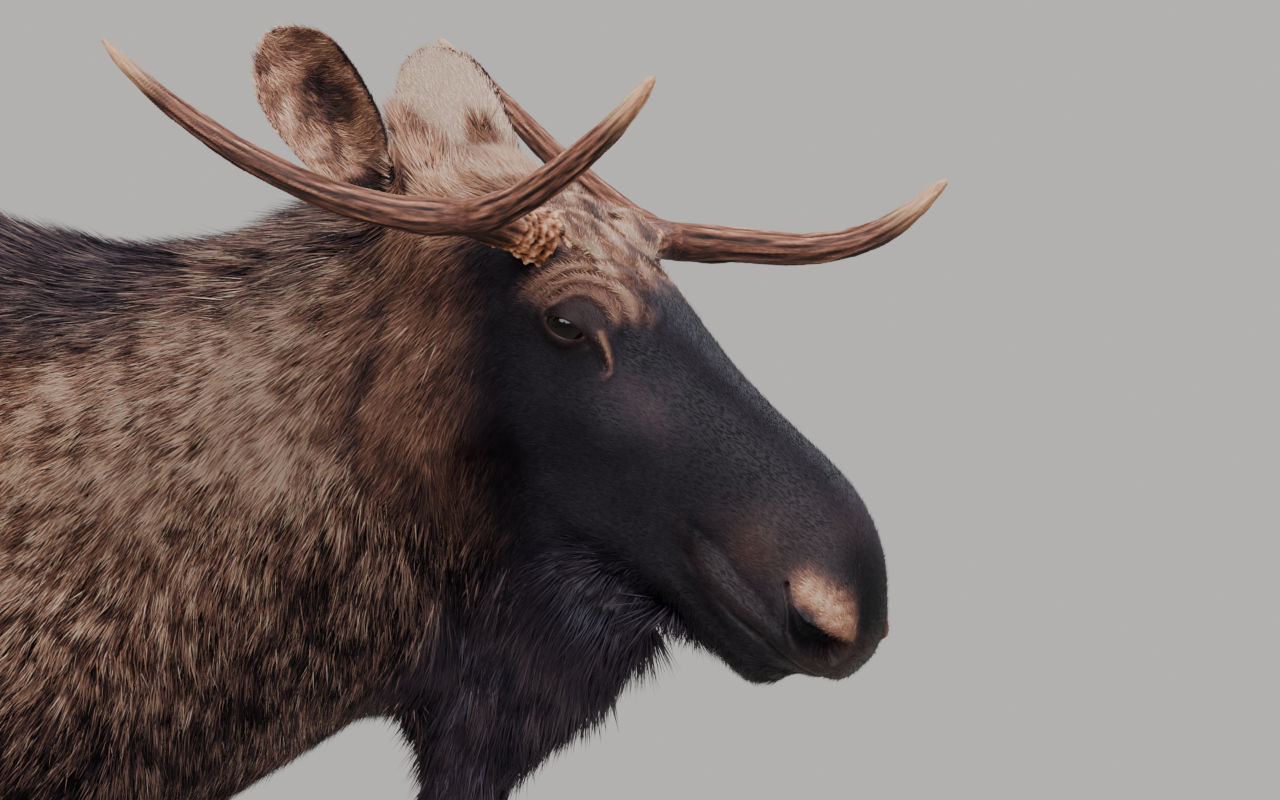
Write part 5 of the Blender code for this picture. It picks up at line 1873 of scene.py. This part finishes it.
# ---- antlers ------------------------------------------------------------------------------
@dataclass
class Antler:
    """Beam and two tines as one grooved bone, with a rough burr at the skull."""

    anatomy: Anatomy
    label: str
    voxel: float = 0.0026
    rounds: int = 26
    slab: float = 0.008
    groove: float = 0.0014
    knee: float = 0.0044  # how much stouter the bone is at the fork
    through_rounds: int = 14  # how smoothly the grain runs from one tine into the other

    # off the eyes: two places in the beam as ahead, out and up, and the fork
    BEAM = ((-0.032, 0.040, 0.080), (-0.034, 0.09, 0.088))
    BEAM_END = 0.205
    FORK_AHEAD = -0.050
    FORK_UP = {"right": 0.110, "left": 0.096}

    def spine(self, p: Array, start: Array) -> Array:
        """Middles of slices through a tine, one each slab of distance from the fork."""
        far = np.linalg.norm(p - start, axis=1)
        bins = (far / self.slab).astype(int)
        slices = [p[bins == k] for k in range(bins.max() + 1)]
        middles = [places.mean(axis=0) for places in slices if len(places) > 4]
        middles = np.array([start, *middles[1:]])
        soften(middles, 3)
        return middles

    def build(self, finish: Material) -> Object:
        """Fuses, smooths and grooves the three solids of one antler."""
        names = [f"antler_{self.label}_{part}" for part in ("beam", "front_tine", "rear_tine")]
        shell = fused([node_mesh(name, 0.0006) for name in names], self.voxel)
        side = SIDES[self.label]
        fork = self.anatomy.on_level(self.FORK_AHEAD, side * 0.215, self.FORK_UP[self.label])
        tips = [self.tip_of(name, fork) for name in names[1:]]
        from_tip = np.minimum.reduce([np.linalg.norm(shell.co - tip, axis=1) for tip in tips])
        shell.relax(0.9 * ease(0.004, 0.040, from_tip) + 0.04, self.rounds, hold=True)
        off_fork = np.linalg.norm(shell.co - fork, axis=1)
        shell.relax(0.9 * ease(0.060, 0.025, off_fork), 40)
        shell.co += shell.normals() * (self.knee * ease(0.085, 0.020, off_fork))[:, None]
        f, v, _ = self.anatomy.level(shell.co)
        out = v * side
        beam = [self.anatomy.on_level(f0, side * v0, h0) for f0, v0, h0 in self.BEAM]
        front, rear = (
            self.spine(shell.co[(out > self.BEAM_END) & part], fork)
            for part in (f > self.FORK_AHEAD, f <= self.FORK_AHEAD)
        )
        lines = [np.array([*beam, fork]), np.vstack([rear[:0:-1], front])]
        soften(lines[1], self.through_rounds)
        grain, far = self.follow(shell.co, lines)
        burr = ease(0.185, 0.120, out + 0.016 * ripple(shell.co, 0.03, 43))
        tip = ease(0.095, 0.020, from_tip)
        turn = np.arctan2(grain[:, 1], grain[:, 0])
        length = grain[:, 2]
        wander = 0.9 * np.sin(length * 38 + 1.3) + 0.6 * np.sin(length * 83 + 2 * np.cos(turn))
        ridge = 0.65 * np.sin(8 * turn + wander) + 0.50 * np.sin(13 * turn - 1.4 * wander + 2.0)
        ridge = np.clip(ridge * 1.2 + 0.25, -1, 1)
        at_fork = ease(0.052, 0.028, off_fork)
        ridge = ridge * (0.75 + 0.25 * np.sin(length * 61 + 3 * turn))
        ridge = ridge * (1 - 0.85 * tip) * (1 - 0.75 * at_fork)
        rough = ripple(shell.co, 0.011, 41) + 0.7 * ripple(shell.co, 0.006, 42)
        n = shell.normals()
        flute = self.groove * ridge * (1 - burr) + (0.0028 + 0.0014 * rough) * burr
        shell.co += n * (flute * ease(0.0, 0.012, far + 0.012))[:, None]
        # darker in the grooves from stain, and painted light: faces that look up are lighter
        stain_and_top_light = (0.25 * (1 + ridge) + 0.16 * n[:, 2]) * (1 - burr)
        shell.values = {
            "groove": -0.22 + stain_and_top_light + burr * (0.38 + 0.22 * rough),
            "tip": tip,
            "burr": np.clip(burr * 1.2, 0, 1),
            "grain": np.stack([grain[:, 0], grain[:, 1], grain[:, 2] * 0.09], axis=1),
        }
        name = f"antler_{self.label}"
        return dress(add_object(name, shell.mesh(name)), finish, "antler", *names)

    def tip_of(self, node: str, start: Array) -> Array:
        """The place of a node's mesh that is farthest from start."""
        co = np.array([vertex.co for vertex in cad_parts[node].data.vertices])
        return co[np.argmax(np.linalg.norm(co - start, axis=1))]

    def follow(self, p: Array, lines: Sequence[Array]) -> tuple[Array, Array]:
        """Coordinates that run with the bone.

        Args:
            p: places on the antler.
            lines: the middles of its beam and tines.

        Returns:
            Two distances across the bone and one along it, and the distance off the nearest line.
        """
        best = np.full(len(p), 1e9)
        grain = np.zeros_like(p)
        for line in lines:
            legs = np.linalg.norm(np.diff(line, axis=0), axis=1)
            start = np.concatenate([[0], np.cumsum(legs)])
            for k in range(len(line) - 1):
                axis = (line[k + 1] - line[k]) / legs[k]
                t = np.clip((p - line[k]) @ axis, 0, legs[k])
                off = p - line[k] - t[:, None] * axis
                gap = np.linalg.norm(off, axis=1)
                first = unit(self.anatomy.up - axis * axis[2])
                second = np.cross(axis, first)
                nearer = gap < best
                best = np.where(nearer, gap, best)
                here = np.stack([off @ first, off @ second, start[k] + t], axis=1)
                grain[nearer] = here[nearer]
        return grain, best


# ---- feet ---------------------------------------------------------------------------------
@dataclass
class Foot:
    """Two claws and two dewclaws of one foot, rounded and standing flat."""

    leg: str
    voxel: float = 0.0032
    rounds: int = 5
    sole: float = 0.0025  # how much of a hoof's foot is pressed onto the floor

    def build(self, finish: Material) -> Object:
        """Rounds the solids of the foot and presses its soles flat."""
        names = [
            f"{part}_{self.leg}_{where}"
            for part in ("hoof", "dewclaw")
            for where in ("inner", "outer")
        ]
        shells = []
        for name in names:
            shell = fused([node_mesh(name, 0.0004)], self.voxel)
            low = shell.co[:, 2].min()
            shell.relax(0.8 * ease(0.002, 0.010, shell.co[:, 2]), self.rounds)
            if name.startswith("hoof"):
                flat = shell.co[:, 2] < low + self.sole
                shell.co[flat, 2] = 0.0
                shell.co[:, 2] = np.maximum(shell.co[:, 2], 0.0)
            shells.append(shell)
        whole = shells[0]
        for shell in shells[1:]:
            whole = whole.join(shell)
        name = f"hooves_{self.leg}"
        return dress(add_object(name, whole.mesh(name)), finish, "hoof", *names)


# ---- studio -------------------------------------------------------------------------------
@dataclass
class Studio:
    """Pale floor, soft lights and the camera."""

    anatomy: Anatomy
    distance: float = 7.0
    azimuth: float = math.radians(12)
    view_width: float = 1.3184
    aim_right: float = 0.0278
    aim_down: float = 0.0742
    sensor: float = 36.0
    floor_radius: float = 18.0
    floor_gap: float = 0.5 * MM  # so that soles and floor don't share a plane
    sky_spread: float = math.radians(32)

    LIT = (0.25, 0, 0.25)  # how far behind and under the eyes the softboxes aim

    def __post_init__(self) -> None:
        """Works out which way the camera looks."""
        self.look = Vector((-math.sin(self.azimuth), math.cos(self.azimuth), 0.0))
        self.right = Vector((math.cos(self.azimuth), math.sin(self.azimuth), 0.0))

    def off(self, start: Vector, at: Sequence[float]) -> Vector:
        """The place this far off start: right of the camera, toward it, up."""
        return start + self.right * at[0] - self.look * at[1] + Vector((0, 0, at[2]))

    def place(self, name: str, data: bpy.types.ID, at: Vector, way: Vector) -> Object:
        """Links a camera or lamp that stands at a place and points along way."""
        made = bpy.data.objects.new(name, data)
        made.location = at
        made.rotation_mode = "QUATERNION"
        made.rotation_quaternion = way.to_track_quat("-Z", "Y")
        bpy.context.scene.collection.objects.link(made)
        return made

    def camera(self) -> None:
        """Long lens, level with the animal's cheek, on its right side."""
        aim = self.off(Vector(self.anatomy.eyes), (self.aim_right, 0.0, -self.aim_down))
        data = bpy.data.cameras.new("camera")
        data.sensor_width = self.sensor
        data.lens = self.sensor * self.distance / self.view_width
        data.clip_end = 300.0
        made = self.place("camera", data, aim - self.look * self.distance, self.look)
        bpy.context.scene.camera = made

    def floor(self) -> None:
        """A wide disc that the feet stand on."""
        bm = bmesh.new()
        bmesh.ops.create_circle(bm, cap_ends=True, segments=96, radius=self.floor_radius)
        made = add_object("floor", to_mesh(bm, "floor"))
        made.data.materials.append(FloorFinish().material())
        made.location.z = -self.floor_gap

    def light(
        self,
        name: str,
        at: Sequence[float],
        size: float,
        power: float,
        shade: str,
        lights: bool = True,
    ) -> None:
        """A square softbox that faces the neck and isn't seen itself.

        Args:
            name: the lamp's name.
            at: its place off the eyes: right of the camera, toward it, up.
            size: side of the square.
            power: in watts.
            shade: its colour.
            lights: whether it also lights matt surfaces, or is only mirrored.
        """
        eyes = Vector(self.anatomy.eyes)
        data = bpy.data.lights.new(name, "AREA")
        data.shape = "SQUARE"
        data.size = size
        data.energy = power
        data.color = linear(shade)[:3]
        stand = self.off(eyes, at)
        made = self.place(name, data, stand, eyes - Vector(self.LIT) - stand)
        made.visible_camera = False
        made.visible_diffuse = lights

    def sky_light(self, way: Sequence[float], power: float, shade: str) -> None:
        """A wide, even light from above, as through a studio's roof.

        Args:
            way: where it comes from: right of the camera, toward it, up.
            power: in watts a square metre.
            shade: its colour.
        """
        data = bpy.data.lights.new("roof", "SUN")
        data.energy = power
        data.angle = self.sky_spread
        data.color = linear(shade)[:3]
        self.place("roof", data, Vector(), -self.off(Vector(), way))

    def air(self) -> None:
        """Pale light from all round."""
        world = bpy.data.worlds.new("studio")
        world.use_nodes = True
        shader = world.node_tree.nodes["Background"]
        shader.inputs["Color"].default_value = linear("dcdad6")
        shader.inputs["Strength"].default_value = 0.85
        bpy.context.scene.world = world

    def build(self) -> None:
        """Sets everything up."""
        self.camera()
        self.floor()
        self.air()
        self.sky_light((-0.30, 0.80, 0.66), 3.6, "fffaf4")
        self.light("rim", (2.4, -2.2, 2.4), 1.6, 90.0, "eaf1ff")
        self.light("gleam", (0.4, 3.4, 1.9), 1.7, 170.0, "e6eeff", lights=False)


def main() -> None:
    """Builds the moose from the skin outwards, and the studio round it."""
    logging.basicConfig(level=logging.INFO, format="%(relativeCreated)6d ms %(message)s")
    anatomy = Anatomy()
    pelage = Pelage(anatomy)
    Studio(anatomy).build()
    eyes = [Eye(anatomy, label) for label in SIDES]
    skin = Hide(anatomy, pelage)
    ground = skin.build(eyes)
    for lids in [eye.lids(ground, pelage) for eye in eyes]:
        ground = ground.join(lids)
    ears = [Ear(anatomy, label) for label in SIDES]
    shell = ground
    for ear in ears:
        shell = shell.join(ear.build())
    finish = HideFinish(yaw=math.atan2(anatomy.left[0], anatomy.left[1]), pitch=-anatomy.HEAD_PITCH)
    hide = add_object("hide", shell.mesh("hide"))
    dress(hide, finish.material(), "coat_brown", *Hide.FLESH, "ear_right", "ear_left")
    wet = EyeFinish().material()
    lash = WhiskerFinish("lash_hair", "15100e").material()
    for eye in eyes:
        name = f"eyeball_{eye.label}"
        dress(add_object(name, eye.ball().mesh(name)), wet, "eye", f"eye_{eye.label}")
        dress(eye.lashes(lash), lash, "coat_face")
    bone = AntlerFinish().material()
    for label in SIDES:
        Antler(anatomy, label).build(bone)
    horn = HornFinish().material()
    for leg in LEGS:
        Foot(leg).build(horn)
    Coat(anatomy, pelage, ground, ears).build()


if __name__ == "__main__":
    main()
